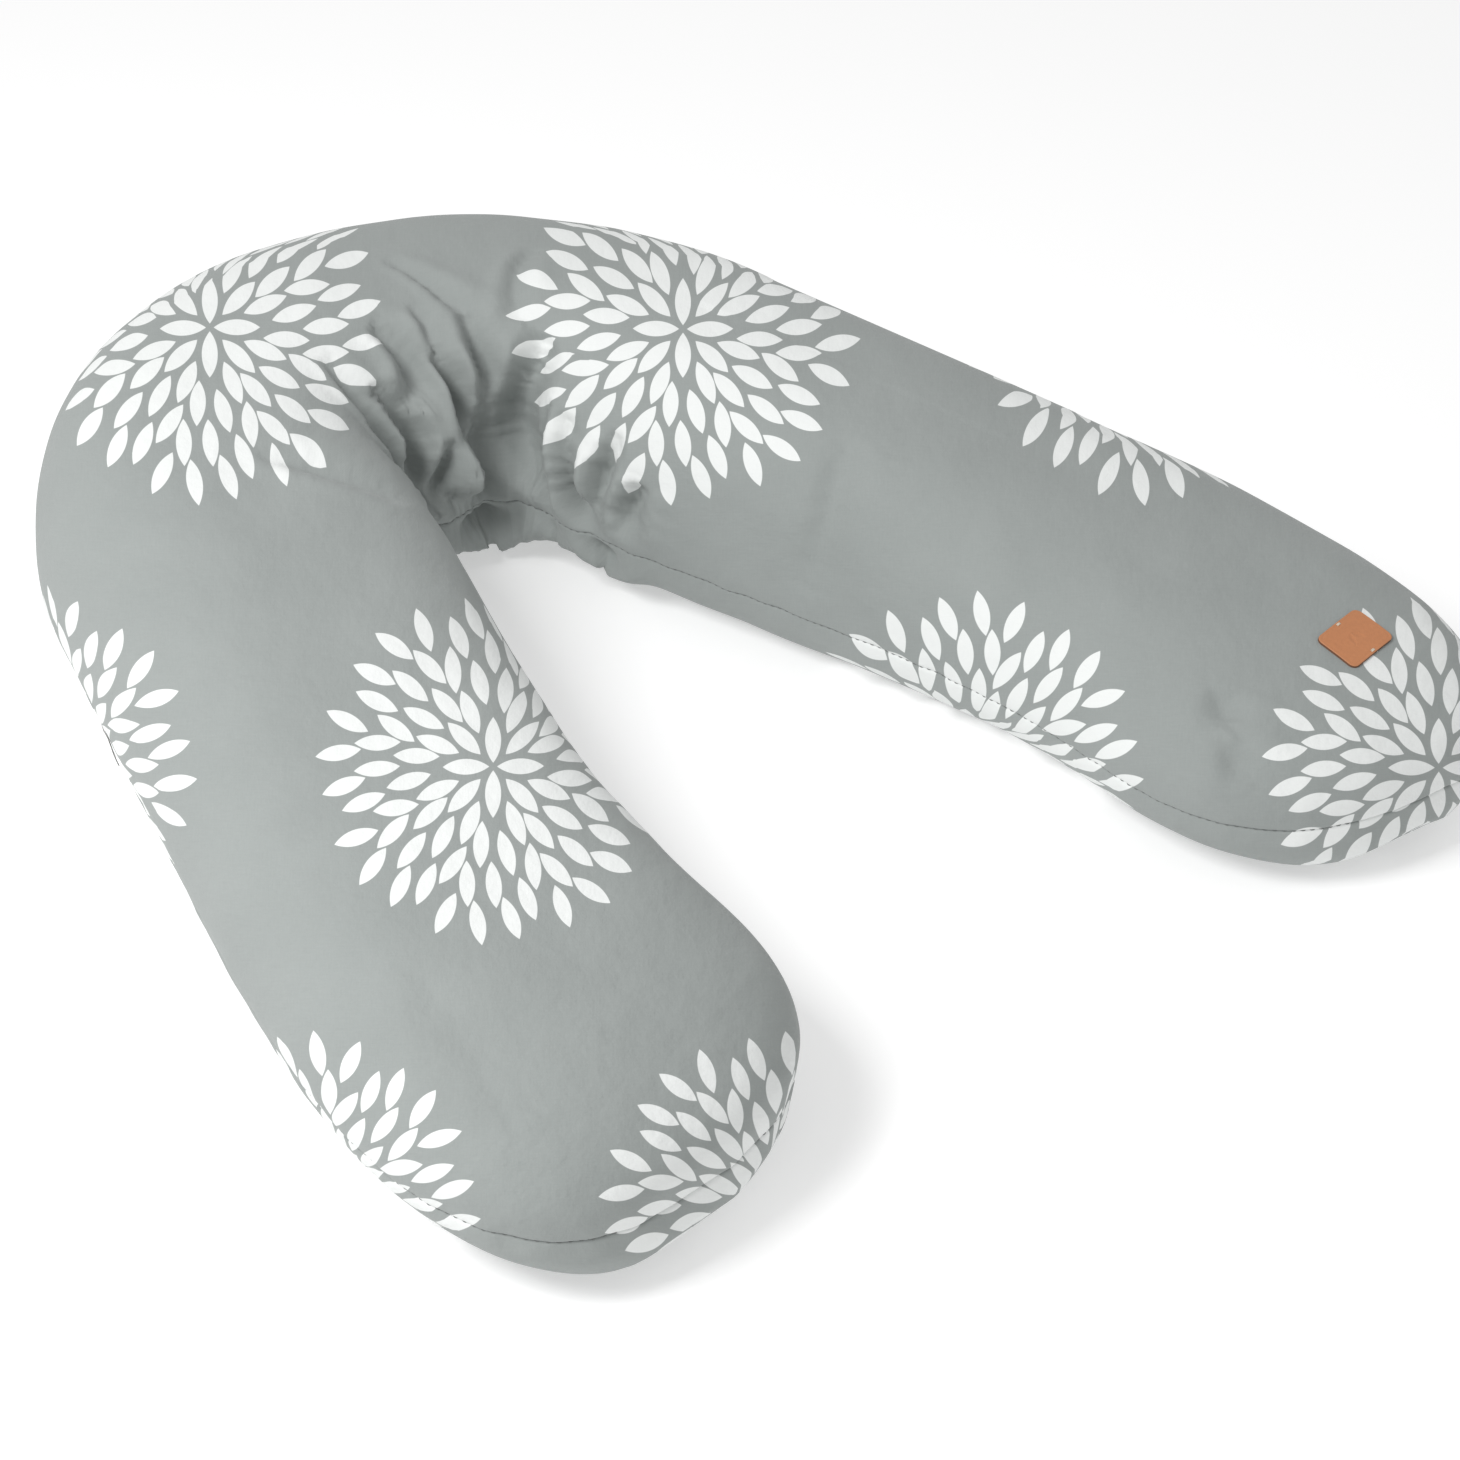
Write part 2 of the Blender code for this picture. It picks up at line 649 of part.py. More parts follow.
def zip_slider(frame, finish):
    """Slider body: front plate with side flanges, rear plate, the web between, and the bridge."""
    body = on_zip(frame, "zip_slider_body", slider_outline(), PLATE_BOTTOM, PLATE_TOP, finish)
    body.location = (SLIDER_REST, 0.0, 0.0)
    half = SLIDER_LENGTH / 2
    for side in (1, -1):
        v = sorted((side * (SLIDER_HALF_BACK - SLIDER_FLANGE), side * SLIDER_HALF_BACK))
        flange = rectangle(-half + SLIDER_FLANGE, half - 2 * SLIDER_FLANGE, *v)
        flange_low = PLATE_BOTTOM - SLIDER_FLANGE_DROP
        boolean(body, prism(flange, flange_low, PLATE_BOTTOM + JOIN_OVERLAP), "UNION")
    web = rectangle(half - SLIDER_WEB_LENGTH, half - JOIN_OVERLAP, -SLIDER_WEB_HALF, SLIDER_WEB_HALF)
    boolean(body, prism(web, REAR_TOP - JOIN_OVERLAP, PLATE_BOTTOM + JOIN_OVERLAP), "UNION")
    boolean(body, prism(slider_outline(JOIN_OVERLAP), REAR_BOTTOM, REAR_TOP), "UNION")
    for side in (1, -1):
        u = sorted((side * (BRIDGE_HALF_LENGTH - BRIDGE_POST), side * BRIDGE_HALF_LENGTH))
        post = rectangle(*u, -BRIDGE_HALF_WIDTH, BRIDGE_HALF_WIDTH)
        post_high = PLATE_TOP + BRIDGE_OPENING + JOIN_OVERLAP
        boolean(body, prism(post, PLATE_TOP - JOIN_OVERLAP, post_high), "UNION")
    bar = rectangle(-BRIDGE_HALF_LENGTH, BRIDGE_HALF_LENGTH, -BRIDGE_HALF_WIDTH, BRIDGE_HALF_WIDTH)
    bar_low = PLATE_TOP + BRIDGE_OPENING
    boolean(body, prism(bar, bar_low, bar_low + BRIDGE_BAR), "UNION")
    return body


def tab_outline():
    """Plan of the pull tab: a square end at the hinge and a round far end."""
    centre = TAB_LENGTH - TAB_HALF_WIDTH
    angles = [-0.5 * math.pi + math.pi * i / 8 for i in range(9)]
    end = [(centre + TAB_HALF_WIDTH * math.cos(a), TAB_HALF_WIDTH * math.sin(a)) for a in angles]
    return [(-TAB_BAR, -TAB_HALF_WIDTH)] + end + [(-TAB_BAR, TAB_HALF_WIDTH)]


def zip_pull(frame, slider, finish):
    """Pull tab, hinged by its cross bar under the slider's bridge; its origin is on that axis."""
    half = TAB_THICKNESS / 2
    body = add_object("zip_pull_tab", prism(tab_outline(), -half, half), finish)
    body.parent = slider
    body.location = (0.0, 0.0, HINGE_HEIGHT)
    eye_half = BRIDGE_HALF_WIDTH + TAB_EYE_CLEARANCE
    eye_end = BRIDGE_HALF_LENGTH + TAB_EYE_CLEARANCE + TAB_BAR
    eye = rectangle(TAB_BAR, eye_end, -eye_half, eye_half)
    boolean(body, prism(eye, -TAB_LENGTH, TAB_LENGTH), "DIFFERENCE")
    hole = disc(TAB_HOLE_RADIUS, TAB_LENGTH - TAB_HALF_WIDTH)
    boolean(body, prism(hole, -TAB_LENGTH, TAB_LENGTH), "DIFFERENCE")
    return bevelled(body, FINE_ROUNDING)


# ---------------------------------------------------------------- patch and labels
def toe_surface():
    """Search tree of a fine mesh of the right toe's top, for laying pieces on it."""
    columns = dome(FINE_SEGMENTS)
    skin = Skin()
    rows = []
    for i in range(FINE_STATIONS):
        distance = STRAIGHT_END + (TOE_END - STRAIGHT_END) * i / FINE_STATIONS
        fraction = max(0.0, (distance - ROUND_START) / TOE_ROUND)
        rows.append(section(Station(1, distance, fraction), COVER_OUTSIDE, columns))
    skin.grid(rows)
    return BVHTree.FromPolygons([Vector(point) for point in skin.points], skin.faces)


def drop_on(tree, x, y):
    """Where a vertical line meets the top of a surface, and the normal there."""
    place, normal, _, _ = tree.ray_cast(Vector((x, y, ABOVE_PILLOW)), Vector((0.0, 0.0, -1.0)))
    return place, normal


def patch_frame(tree):
    """Frame of the patch, tangent to the cover at the patch's centre."""
    centre, normal = drop_on(tree, *PATCH_CENTRE)
    along = Vector((math.cos(PATCH_TURN), math.sin(PATCH_TURN), 0.0))
    v = normal.cross(along).normalized()
    u = v.cross(normal).normalized()
    frame = Matrix((u, v, normal)).transposed().to_4x4()
    frame.translation = centre
    return frame


def rounded_rectangle(length, width, corner, steps=4):
    """Outline of a rectangle with rounded corners, as (u, v) points."""
    points = []
    for quarter in range(4):
        start = quarter * 0.5 * math.pi
        centre_u = math.copysign(length / 2 - corner, math.cos(start + 0.25 * math.pi))
        centre_v = math.copysign(width / 2 - corner, math.sin(start + 0.25 * math.pi))
        for i in range(steps + 1):
            angle = start + 0.5 * math.pi * i / steps
            points.append((centre_u + corner * math.cos(angle), centre_v + corner * math.sin(angle)))
    return points


def lie_on(tree, frame, u, v, lift):
    """A point of a flat piece laid on the surface, lifted along the frame's normal."""
    normal = frame.to_3x3().col[2]
    above = frame @ Vector((u, v, ABOVE_PATCH))
    place = tree.ray_cast(above, -normal)[0]
    return place + normal * lift


def laid_piece(name, tree, frame, outline, low, high, finish, rings=5):
    """A thin piece whose outline is shrunk ring by ring to its middle, laid on a surface."""
    centre_u = sum(point[0] for point in outline) / len(outline)
    centre_v = sum(point[1] for point in outline) / len(outline)
    skin = Skin()
    layers = []
    for lift in (low, high):
        rows = []
        for ring in range(rings + 1):
            share = 1.0 - ring / rings
            rows.append([lie_on(tree, frame, centre_u + (u - centre_u) * share,
                                centre_v + (v - centre_v) * share, lift) for u, v in outline])
        skin.grid(rows, ring=True)
        layers.append(rows)
    skin.grid([layers[0][0], layers[1][0]], ring=True)
    return skin.build(name, finish)


def leather_patch(leather, thread):
    """The patch, and a thread tack in the middle of each of its long edges."""
    tree = toe_surface()
    frame = patch_frame(tree)
    top = PATCH_ON_COVER + PATCH_THICKNESS
    outline = rounded_rectangle(PATCH_LENGTH, PATCH_WIDTH, PATCH_CORNER)
    laid_piece("leather_patch", tree, frame, outline, PATCH_ON_COVER, top, leather)
    low = top + THREAD_GAP
    high = low + PATCH_TACK_THICKNESS
    for side, name in ((-1, "near"), (1, "far")):
        middle = side * (PATCH_WIDTH / 2 - PATCH_TACK_SETBACK)
        tack = rectangle(-PATCH_TACK_LENGTH / 2, PATCH_TACK_LENGTH / 2,
                         middle - PATCH_TACK_WIDTH / 2, middle + PATCH_TACK_WIDTH / 2)
        laid_piece("patch_tack_" + name, tree, frame, tack, low, high, thread, rings=1)


def hanging_label(name, layer, leg, middle, length, finish):
    """A folded label that hangs from a leg's outer seam, flat against the lower panel."""
    rows = []
    for distance in (middle - LABEL_WIDTH / 2, middle + LABEL_WIDTH / 2):
        station = Station(leg, distance, 0.0)
        top = on_band(station, layer, True, -LABEL_ON_FABRIC)
        low = on_band(station, layer, True, -LABEL_ON_FABRIC - length)
        heading = path_point(distance)[2]
        along = Vector((leg * math.cos(heading), math.sin(heading), 0.0))
        out = along.cross(low - top).normalized() * leg
        near = out * LABEL_ON_FABRIC
        far = out * (LABEL_ON_FABRIC + LABEL_THICKNESS)
        rows.append([top + near, low + near, low + far, top + far])
    skin = Skin()
    skin.grid(rows, ring=True)
    skin.cap(rows[0])
    skin.cap(rows[1])
    return skin.build(name, finish, smooth=False)


# ---------------------------------------------------------------- assembly
def clear_scene():
    for item in list(bpy.data.objects):
        bpy.data.objects.remove(item, do_unlink=True)


def centre_shift():
    """How far the crown's centre-line lies from the middle of the pillow's outline."""
    points = [point for station in STATIONS for point in section(station, COVER_OUTSIDE)]
    low = min(point.y for point in points)
    high = max(point.y for point in points)
    return -0.5 * (low + high)


def place_at_origin():
    """Moves the pillow so that the origin is under the middle of its outline."""
    shift = centre_shift()
    for item in bpy.data.objects:
        if item.parent is None:
            item.location.y += shift


def build_fabric(cotton, liner, thread, beads):
    panel("cover_top_panel", COVER_OUTSIDE, COVER_INSIDE, True, cotton)
    panel("cover_bottom_panel", COVER_OUTSIDE, COVER_INSIDE, False, cotton)
    panel("liner_top_panel", LINER_OUTSIDE, LINER_INSIDE, True, liner)
    panel("liner_bottom_panel", LINER_OUTSIDE, LINER_INSIDE, False, liner)
    filling("bead_filling", FILLING_SKIN, beads)
    cover_depth = COVER_THICKNESS + THREAD_GAP
    seam_thread("cover_seam_thread", cover_thread_route(), cover_depth, COVER_THREAD_WIDTH, thread)
    liner_depth = LINER_DEPTH + LINER_THICKNESS + THREAD_GAP
    seam_thread("liner_seam_thread", liner_thread_route(), liner_depth, LINER_THREAD_WIDTH, thread)
    low, high = closing_span()
    closing = [(cut_station(low), True), (cut_station(ZIP_MIDDLE), True), (cut_station(high), True)]
    seam_thread("liner_closing_stitch", closing, liner_depth, LINER_THREAD_WIDTH, thread)


def build_zip(tape, coil, metal, thread):
    frame = zip_frame()
    zip_tapes_and_coils(frame, tape, coil)
    zip_stops(frame, metal)
    zip_stitching(frame, thread)
    slider = zip_slider(frame, metal)
    zip_pull(frame, slider, metal)


def build():
    clear_scene()
    cotton = material("printed_cotton", (0.41, 0.44, 0.43), 0.85)
    liner = material("white_liner_cotton", (0.85, 0.84, 0.81), 0.9)
    beads = material("foam_beads", (0.93, 0.93, 0.92), 0.7)
    thread = material("grey_thread", (0.33, 0.35, 0.35), 0.8)
    tape = material("grey_zip_tape", (0.36, 0.38, 0.38), 0.85)
    coil = material("grey_nylon", (0.30, 0.32, 0.32), 0.45)
    metal = material("nickel", (0.62, 0.61, 0.59), 0.3, metallic=1.0)
    leather = material("tan_leather", (0.49, 0.19, 0.09), 0.6)
    pale_thread = material("pale_thread", (0.75, 0.62, 0.48), 0.7)
    satin = material("white_satin", (0.88, 0.88, 0.86), 0.45)
    build_fabric(cotton, liner, thread, beads)
    build_zip(tape, coil, metal, thread)
    leather_patch(leather, pale_thread)
    middle = ZIP_MIDDLE - LABEL_BEFORE_MIDDLE
    hanging_label("cover_care_label", COVER_OUTSIDE, -1, middle, COVER_LABEL_LENGTH, satin)
    hanging_label("liner_care_label", LINER_OUTSIDE, 1, middle, LINER_LABEL_LENGTH, satin)
    place_at_origin()


build()
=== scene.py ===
import math

import bmesh
import bpy
import numpy as np
from mathutils import Matrix, Vector, noise
from mathutils.bvhtree import BVHTree


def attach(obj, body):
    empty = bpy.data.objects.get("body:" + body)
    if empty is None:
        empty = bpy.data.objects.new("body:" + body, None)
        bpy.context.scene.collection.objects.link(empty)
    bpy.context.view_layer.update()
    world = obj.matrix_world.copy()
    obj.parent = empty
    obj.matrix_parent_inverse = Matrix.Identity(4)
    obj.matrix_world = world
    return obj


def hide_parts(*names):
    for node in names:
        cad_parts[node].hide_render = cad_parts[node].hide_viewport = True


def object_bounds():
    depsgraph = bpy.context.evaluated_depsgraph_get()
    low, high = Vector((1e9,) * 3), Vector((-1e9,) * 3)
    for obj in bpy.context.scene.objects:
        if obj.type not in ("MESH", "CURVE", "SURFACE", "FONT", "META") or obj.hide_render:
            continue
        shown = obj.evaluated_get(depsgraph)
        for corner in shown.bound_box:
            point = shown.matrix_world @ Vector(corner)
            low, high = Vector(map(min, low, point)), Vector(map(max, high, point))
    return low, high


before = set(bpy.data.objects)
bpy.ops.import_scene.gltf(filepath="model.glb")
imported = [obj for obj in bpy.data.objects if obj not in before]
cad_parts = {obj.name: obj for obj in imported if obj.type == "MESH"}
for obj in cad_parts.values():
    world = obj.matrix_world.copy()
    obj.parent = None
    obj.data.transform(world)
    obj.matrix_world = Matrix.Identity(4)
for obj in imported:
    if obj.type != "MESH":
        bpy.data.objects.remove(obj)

CAD_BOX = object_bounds()

# -------- the form, as in the CAD
CROWN_RADIUS = 0.203
CROWN_EASE = 0.030
LEG_SPREAD = math.radians(13.0)
LEG_STRAIGHT = 0.302
TOE_LENGTH = 0.366
TOE_TURN = math.radians(18.5)
TOE_RAMP = 0.3
TOE_ROUND = 0.200
TOE_POWER_INNER = 2.6
TOE_POWER_OUTER = 2.8
TOE_HEIGHT_FADE = 1.1
OUTER_HALF_CROWN = 0.165
OUTER_HALF_LEG = 0.128
INNER_HALVES = (0.143, 0.129, 0.147, 0.133, 0.165)
HEIGHTS = (0.210, 0.184, 0.133)
EQUATOR_HEIGHT = 0.072
BAND_DROP = 0.032
BASE_DEPTH = EQUATOR_HEIGHT * 1.30
SIDE_POWER = 3.1
TOP_POWER = 2.0
ZIP_LENGTH = 0.270
ZIP_TAPER = 0.012
ZIP_SLOT_HALF = 0.0053

CROWN_ARC = (math.pi / 2 - LEG_SPREAD) * CROWN_RADIUS - CROWN_EASE / 2
STRAIGHT_START = CROWN_ARC + CROWN_EASE
STRAIGHT_END = STRAIGHT_START + LEG_STRAIGHT
TOE_END = STRAIGHT_END + TOE_LENGTH
ROUND_START = TOE_END - TOE_ROUND
ZIP_START = STRAIGHT_START + (LEG_STRAIGHT - ZIP_LENGTH) / 2
ZIP_END = ZIP_START + ZIP_LENGTH
ZIP_MIDDLE = (ZIP_START + ZIP_END) / 2
SHIFT_Y = CAD_BOX[1][1] - OUTER_HALF_CROWN

# how finely the cover is divided: along the straight parts, round each toe and across each panel
ROW_PITCH = 0.0032
TOE_ROWS = 70
TOP_COLUMNS = 138
BOTTOM_COLUMNS = 88
PATH_POINTS = 900
EDGE_STEPS = np.array((0.0, 0.0005, 0.0012, 0.0022, 0.0036, 0.0056))
EDGE_FULL_WIDTH = 0.06

# -------- the view that the print is set out for
VIEW_AZIMUTH = math.radians(-37.95)
VIEW_ELEVATION = math.radians(34.87)
VIEW_TARGET = np.array((-0.0168, -0.1658, 0.0672))
VIEW_DISTANCE = 1.998
VIEW_LENS = 73.3
VIEW_RIGHT = np.array((math.cos(VIEW_AZIMUTH), math.sin(VIEW_AZIMUTH), 0.0))
VIEW_BACK = np.array((math.sin(VIEW_AZIMUTH) * math.cos(VIEW_ELEVATION),
                      -math.cos(VIEW_AZIMUTH) * math.cos(VIEW_ELEVATION),
                      math.sin(VIEW_ELEVATION)))
VIEW_UP = np.cross(VIEW_BACK, VIEW_RIGHT)
VIEW_EYE = VIEW_TARGET + VIEW_BACK * VIEW_DISTANCE


# -------- centre-line and sections
def ease(fraction):
    """A smooth step from 0 to 1."""
    return 0.5 * (1.0 - np.cos(np.pi * np.clip(fraction, 0.0, 1.0)))


def integrate(values, distances):
    steps = 0.5 * (values[1:] + values[:-1]) * np.diff(distances)
    return np.concatenate([[0.0], np.cumsum(steps)])


def plan_path():
    """Distances along half the centre-line, with x, y and heading."""
    distances = np.linspace(0.0, TOE_END, PATH_POINTS)
    crown = (1.0 - ease((distances - CROWN_ARC) / CROWN_EASE)) / CROWN_RADIUS
    ramp = TOE_RAMP * TOE_LENGTH
    toe_bend = TOE_TURN / (TOE_LENGTH - ramp / 2)
    toe = toe_bend * np.clip((distances - STRAIGHT_END) / ramp, 0.0, 1.0)
    heading = -integrate(crown + toe, distances)
    x = integrate(np.cos(heading), distances)
    y = integrate(np.sin(heading), distances)
    return distances, x, y, heading


def smooth_through(places, values, at):
    """Cubic curve through values at places, with no overshoot between them."""
    places = np.array(places)
    values = np.array(values)
    slopes = np.diff(values) / np.diff(places)
    tangents = [0.0]
    for before, after in zip(slopes, slopes[1:]):
        tangents.append(2 * before * after / (before + after) if before * after > 0 else 0.0)
    tangents = np.array(tangents + [slopes[-1]])
    i = np.clip(np.searchsorted(places, at) - 1, 0, len(slopes) - 1)
    span = places[i + 1] - places[i]
    f = np.clip((at - places[i]) / span, 0.0, 1.0)
    rise = values[i + 1] - values[i]
    bow = span * f * (1 - f) * ((1 - f) * tangents[i] - f * tangents[i + 1])
    return values[i] + f * f * (3 - 2 * f) * rise + bow


def round_off(fraction, power):
    return np.maximum(0.0, 1.0 - fraction ** power) ** (1.0 / power)


def stations(pitch, toe_rows):
    """Signed distances along the centre-line and their fractions of the rounded toe."""
    count = int(round(ROUND_START / pitch))
    straight = np.linspace(0.0, ROUND_START, count + 1)
    angles = 0.5 * math.pi * np.arange(1, toe_rows + 1) / toe_rows
    fractions = np.sin(angles) ** (2.0 / TOE_POWER_INNER)
    fractions[-1] = 1.0
    half = np.concatenate([straight, ROUND_START + TOE_ROUND * fractions])
    fraction = np.concatenate([np.zeros(count + 1), fractions])
    return np.concatenate([-half[:0:-1], half]), np.concatenate([fraction[:0:-1], fraction])


def near_zip(distance):
    """1 along the zip on the right leg, falling to 0 over its taper at each end."""
    before = ease((distance - (ZIP_START - ZIP_TAPER)) / ZIP_TAPER)
    after = ease(((ZIP_END + ZIP_TAPER) - distance) / ZIP_TAPER)
    return before * after


def unit_profile():
    """Fine section in unit form: (side, rise, drop), from the outer seam over the top and back."""
    band = BAND_DROP / BASE_DEPTH
    floor = EQUATOR_HEIGHT / BASE_DEPTH
    lip = np.linspace(band / 2, 0.0, 7)[:-1]
    under = np.linspace(band / 2, floor, 26)
    angle = np.linspace(0.0, math.pi, 181)
    lean = np.cos(angle)
    side = np.sign(lean) * np.abs(lean) ** (2.0 / SIDE_POWER)
    rise = np.sin(angle) ** (2.0 / TOP_POWER)
    rise[-1] = 0.0
    top = np.concatenate([
        np.stack([np.sqrt(1 - lip ** 2), 0 * lip, lip], 1),
        np.stack([side, rise, 0 * side], 1),
        np.stack([-np.sqrt(1 - lip ** 2), 0 * lip, lip], 1)[::-1]])
    inner = np.stack([-np.sqrt(1 - under ** 2), 0 * under, under], 1)
    flat = np.linspace(-1, 1, 9)[1:-1] * math.sqrt(1 - floor ** 2)
    base = np.stack([flat, 0 * flat, 0 * flat + floor], 1)
    outer = inner[::-1] * np.array((-1, 1, 1))
    return top, np.concatenate([inner, base, outer])


def rings(distances, fractions, profile):
    """Fine section points at every station: an array of stations by profile points."""
    path = plan_path()
    leg = np.where(distances < 0, -1.0, 1.0)
    reach = np.abs(distances)
    x, y, heading = (np.interp(reach, path[0], column) for column in path[1:])
    fade_out = ease(reach / STRAIGHT_START)
    outer = OUTER_HALF_CROWN + (OUTER_HALF_LEG - OUTER_HALF_CROWN) * fade_out
    outer = outer * round_off(fractions, TOE_POWER_OUTER)
    knots = (0.0, 0.5 * STRAIGHT_START, STRAIGHT_START, STRAIGHT_END, TOE_END)
    inner = smooth_through(knots, INNER_HALVES, reach) * round_off(fractions, TOE_POWER_INNER)
    fade = round_off(fractions, 0.5 * (TOE_POWER_INNER + TOE_POWER_OUTER)) ** TOE_HEIGHT_FADE
    height = smooth_through((0.0, 0.5 * TOE_END, TOE_END), HEIGHTS, reach)
    side, rise, drop = profile.T
    band = BAND_DROP / BASE_DEPTH
    chord = np.sign(side) * (1 - np.minimum(drop / band, 1) * (1 - math.sqrt(1 - band ** 2)))
    straight = near_zip(distances)[:, None] * ((side > 0) & (drop > 0) & (drop < band))
    side = side * (1 - straight) + chord * straight
    across = np.where(side > 0, outer[:, None], inner[:, None]) * side
    low = np.minimum(drop * BASE_DEPTH, BAND_DROP)
    deeper = np.maximum(0.0, drop * BASE_DEPTH - BAND_DROP)
    z = EQUATOR_HEIGHT + rise * ((height - EQUATOR_HEIGHT) * fade)[:, None]
    z = z - low - deeper * fade[:, None]
    px = (x[:, None] - np.sin(heading)[:, None] * across) * leg[:, None]
    py = y[:, None] + np.cos(heading)[:, None] * across + SHIFT_Y
    return np.stack([px, py, z], 2)


def resample(polylines, arcs):
    """Points at arc lengths along each polyline."""
    steps = np.linalg.norm(np.diff(polylines, axis=1), axis=2)
    along = np.concatenate([np.zeros((len(steps), 1)), np.cumsum(steps, 1)], 1)
    out = np.empty(arcs.shape + (3,))
    for i, line in enumerate(polylines):
        for axis in range(3):
            out[i, :, axis] = np.interp(arcs[i], along[i], line[:, axis])
    return out


def lengths(polylines):
    return np.linalg.norm(np.diff(polylines, axis=1), axis=2).sum(1)


def columns(total, count, start_cut, end_cut):
    """Arc lengths across a panel: fine steps at both seams and even ones between."""
    free = total - start_cut - end_cut
    shrink = np.minimum(1.0, free / EDGE_FULL_WIDTH)[:, None]
    edge = EDGE_STEPS[None, :] * shrink
    reach = edge[:, -1:]
    inside = np.linspace(0.0, 1.0, count + 1)[None, 1:-1]
    middle = reach + (free[:, None] - 2 * reach) * inside
    arcs = np.concatenate([edge, middle, free[:, None] - edge[:, ::-1]], 1)
    return arcs + start_cut[:, None]


def interpolate(at, reach, values):
    """Each column of values, known at the places in reach, read at new places."""
    return np.stack([np.interp(at, reach, column) for column in values.T], -1)


def arc_lengths(line):
    """Length along a line up to each of its points."""
    return np.concatenate([[0.0], np.cumsum(np.linalg.norm(np.diff(line, axis=0), axis=1))])


def unit(vectors):
    return vectors / np.maximum(np.linalg.norm(vectors, axis=-1, keepdims=True), 1e-12)


class Panel:
    """A cover panel as a grid of points, with its distances from the outer and the inner seam."""

    def __init__(self, upper, distances, fractions, count):
        top, bottom = unit_profile()
        fine = rings(distances, fractions, top if upper else bottom)
        total = lengths(fine)
        slot = near_zip(distances) * ZIP_SLOT_HALF
        none = np.zeros(len(distances))
        cuts = (slot, none) if upper else (none, slot)
        arcs = columns(total, count, *cuts)
        from_edges = (arcs - cuts[0][:, None], (total - cuts[1])[:, None] - arcs)
        self.base = resample(fine, arcs)
        self.points = self.base
        self.share = arcs / total[:, None]
        self.outer_half = self.share < 0.5 if upper else self.share > 0.5
        self.from_outer, self.from_inner = from_edges if upper else from_edges[::-1]
        self.from_seam = np.minimum(*from_edges)


class Cover:
    """Both panels over the same stations, with normals taken round the whole section."""

    def __init__(self, pitch, toe_rows, top_count, bottom_count):
        self.distances, fractions = stations(pitch, toe_rows)
        self.top = Panel(True, self.distances, fractions, top_count)
        self.bottom = Panel(False, self.distances, fractions, bottom_count)
        self.panels = (self.top, self.bottom)
        self.find_normals()
        for panel in self.panels:
            panel.flat_normals = panel.normals

    def find_normals(self):
        ring = np.concatenate([self.top.points, self.bottom.points[:, 1:-1]], 1)
        along = np.gradient(ring, axis=0)
        across = np.roll(ring, -1, 1) - np.roll(ring, 1, 1)
        normal = np.cross(across, along)
        normal[0], normal[-1] = normal[1], normal[-2]
        normal /= np.maximum(np.linalg.norm(normal, axis=2, keepdims=True), 1e-12)
        count = self.top.points.shape[1]
        self.top.normals = normal[:, :count]
        self.bottom.normals = np.concatenate([normal[:, count - 1:], normal[:, :1]], 1)

    def move(self, depths):
        """Moves each panel along its normals by its own depths, and finds the new normals."""
        for panel, depth in zip(self.panels, depths):
            panel.points = panel.points + panel.normals * depth[..., None]
        self.find_normals()

    def place(self, distance, share):
        """Point of the undented top panel at a distance along the pillow and a share across it."""
        i = int(np.searchsorted(self.distances, distance))
        return interpolate(share, self.top.share[i], self.top.base[i])

    def seam(self, outer, depth):
        """Points along a seam, pushed in by depth, and the normals there."""
        top, bottom = self.top, self.bottom
        a, b = (0, -1) if outer else (-1, 0)
        normal = top.normals[:, a] + bottom.normals[:, b]
        normal /= np.linalg.norm(normal, axis=1, keepdims=True)
        middle = 0.5 * (top.points[:, a] + bottom.points[:, b])
        return middle - normal * depth, normal


def add_object(name, data):
    made = bpy.data.objects.new(name, data)
    bpy.context.scene.collection.objects.link(made)
    return made


def grid_object(name, points, finish, uv=None):
    """A mesh from a grid of points, with coinciding points merged."""
    rows, cols = points.shape[:2]
    mesh = bpy.data.meshes.new(name)
    number = np.arange(rows * cols).reshape(rows, cols)
    quads = np.stack([number[:-1, :-1], number[:-1, 1:], number[1:, 1:], number[1:, :-1]], 2)
    mesh.from_pydata(points.reshape(-1, 3).tolist(), [], quads.reshape(-1, 4).tolist())
    if uv is not None:
        layer = mesh.uv_layers.new(name="print")
        corners = np.empty(len(mesh.loops), np.int32)
        mesh.loops.foreach_get("vertex_index", corners)
        layer.data.foreach_set("uv", uv.reshape(-1, 2)[corners].astype(np.float32).ravel())
    shape = bmesh.new()
    shape.from_mesh(mesh)
    bmesh.ops.remove_doubles(shape, verts=shape.verts, dist=1e-6)
    bmesh.ops.dissolve_degenerate(shape, edges=shape.edges, dist=1e-7)
    shape.to_mesh(mesh)
    shape.free()
    mesh.shade_smooth()
    mesh.materials.append(finish)
    return add_object(name, mesh)


def declare(made, node):
    """Attaches a piece to the pillow's body and hides the CAD node that it stands for."""
    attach(made, "pillow")
    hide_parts(node)


# -------- print
# the print lies flat in the view down to this share of facing it
FACING_LIMIT = 0.32
HEADING_STEPS = 6


def seen_in_view(points):
    """Where each point is seen in the view, in metres in the plane through the view's target."""
    ray = points - VIEW_EYE
    depth = -(ray @ VIEW_BACK)
    return np.stack([ray @ VIEW_RIGHT, ray @ VIEW_UP], -1) * (VIEW_DISTANCE / depth)[..., None]


def facing_view(panel):
    to_eye = VIEW_EYE - panel.base
    to_eye /= np.linalg.norm(to_eye, axis=2, keepdims=True)
    return (panel.flat_normals * to_eye).sum(2)


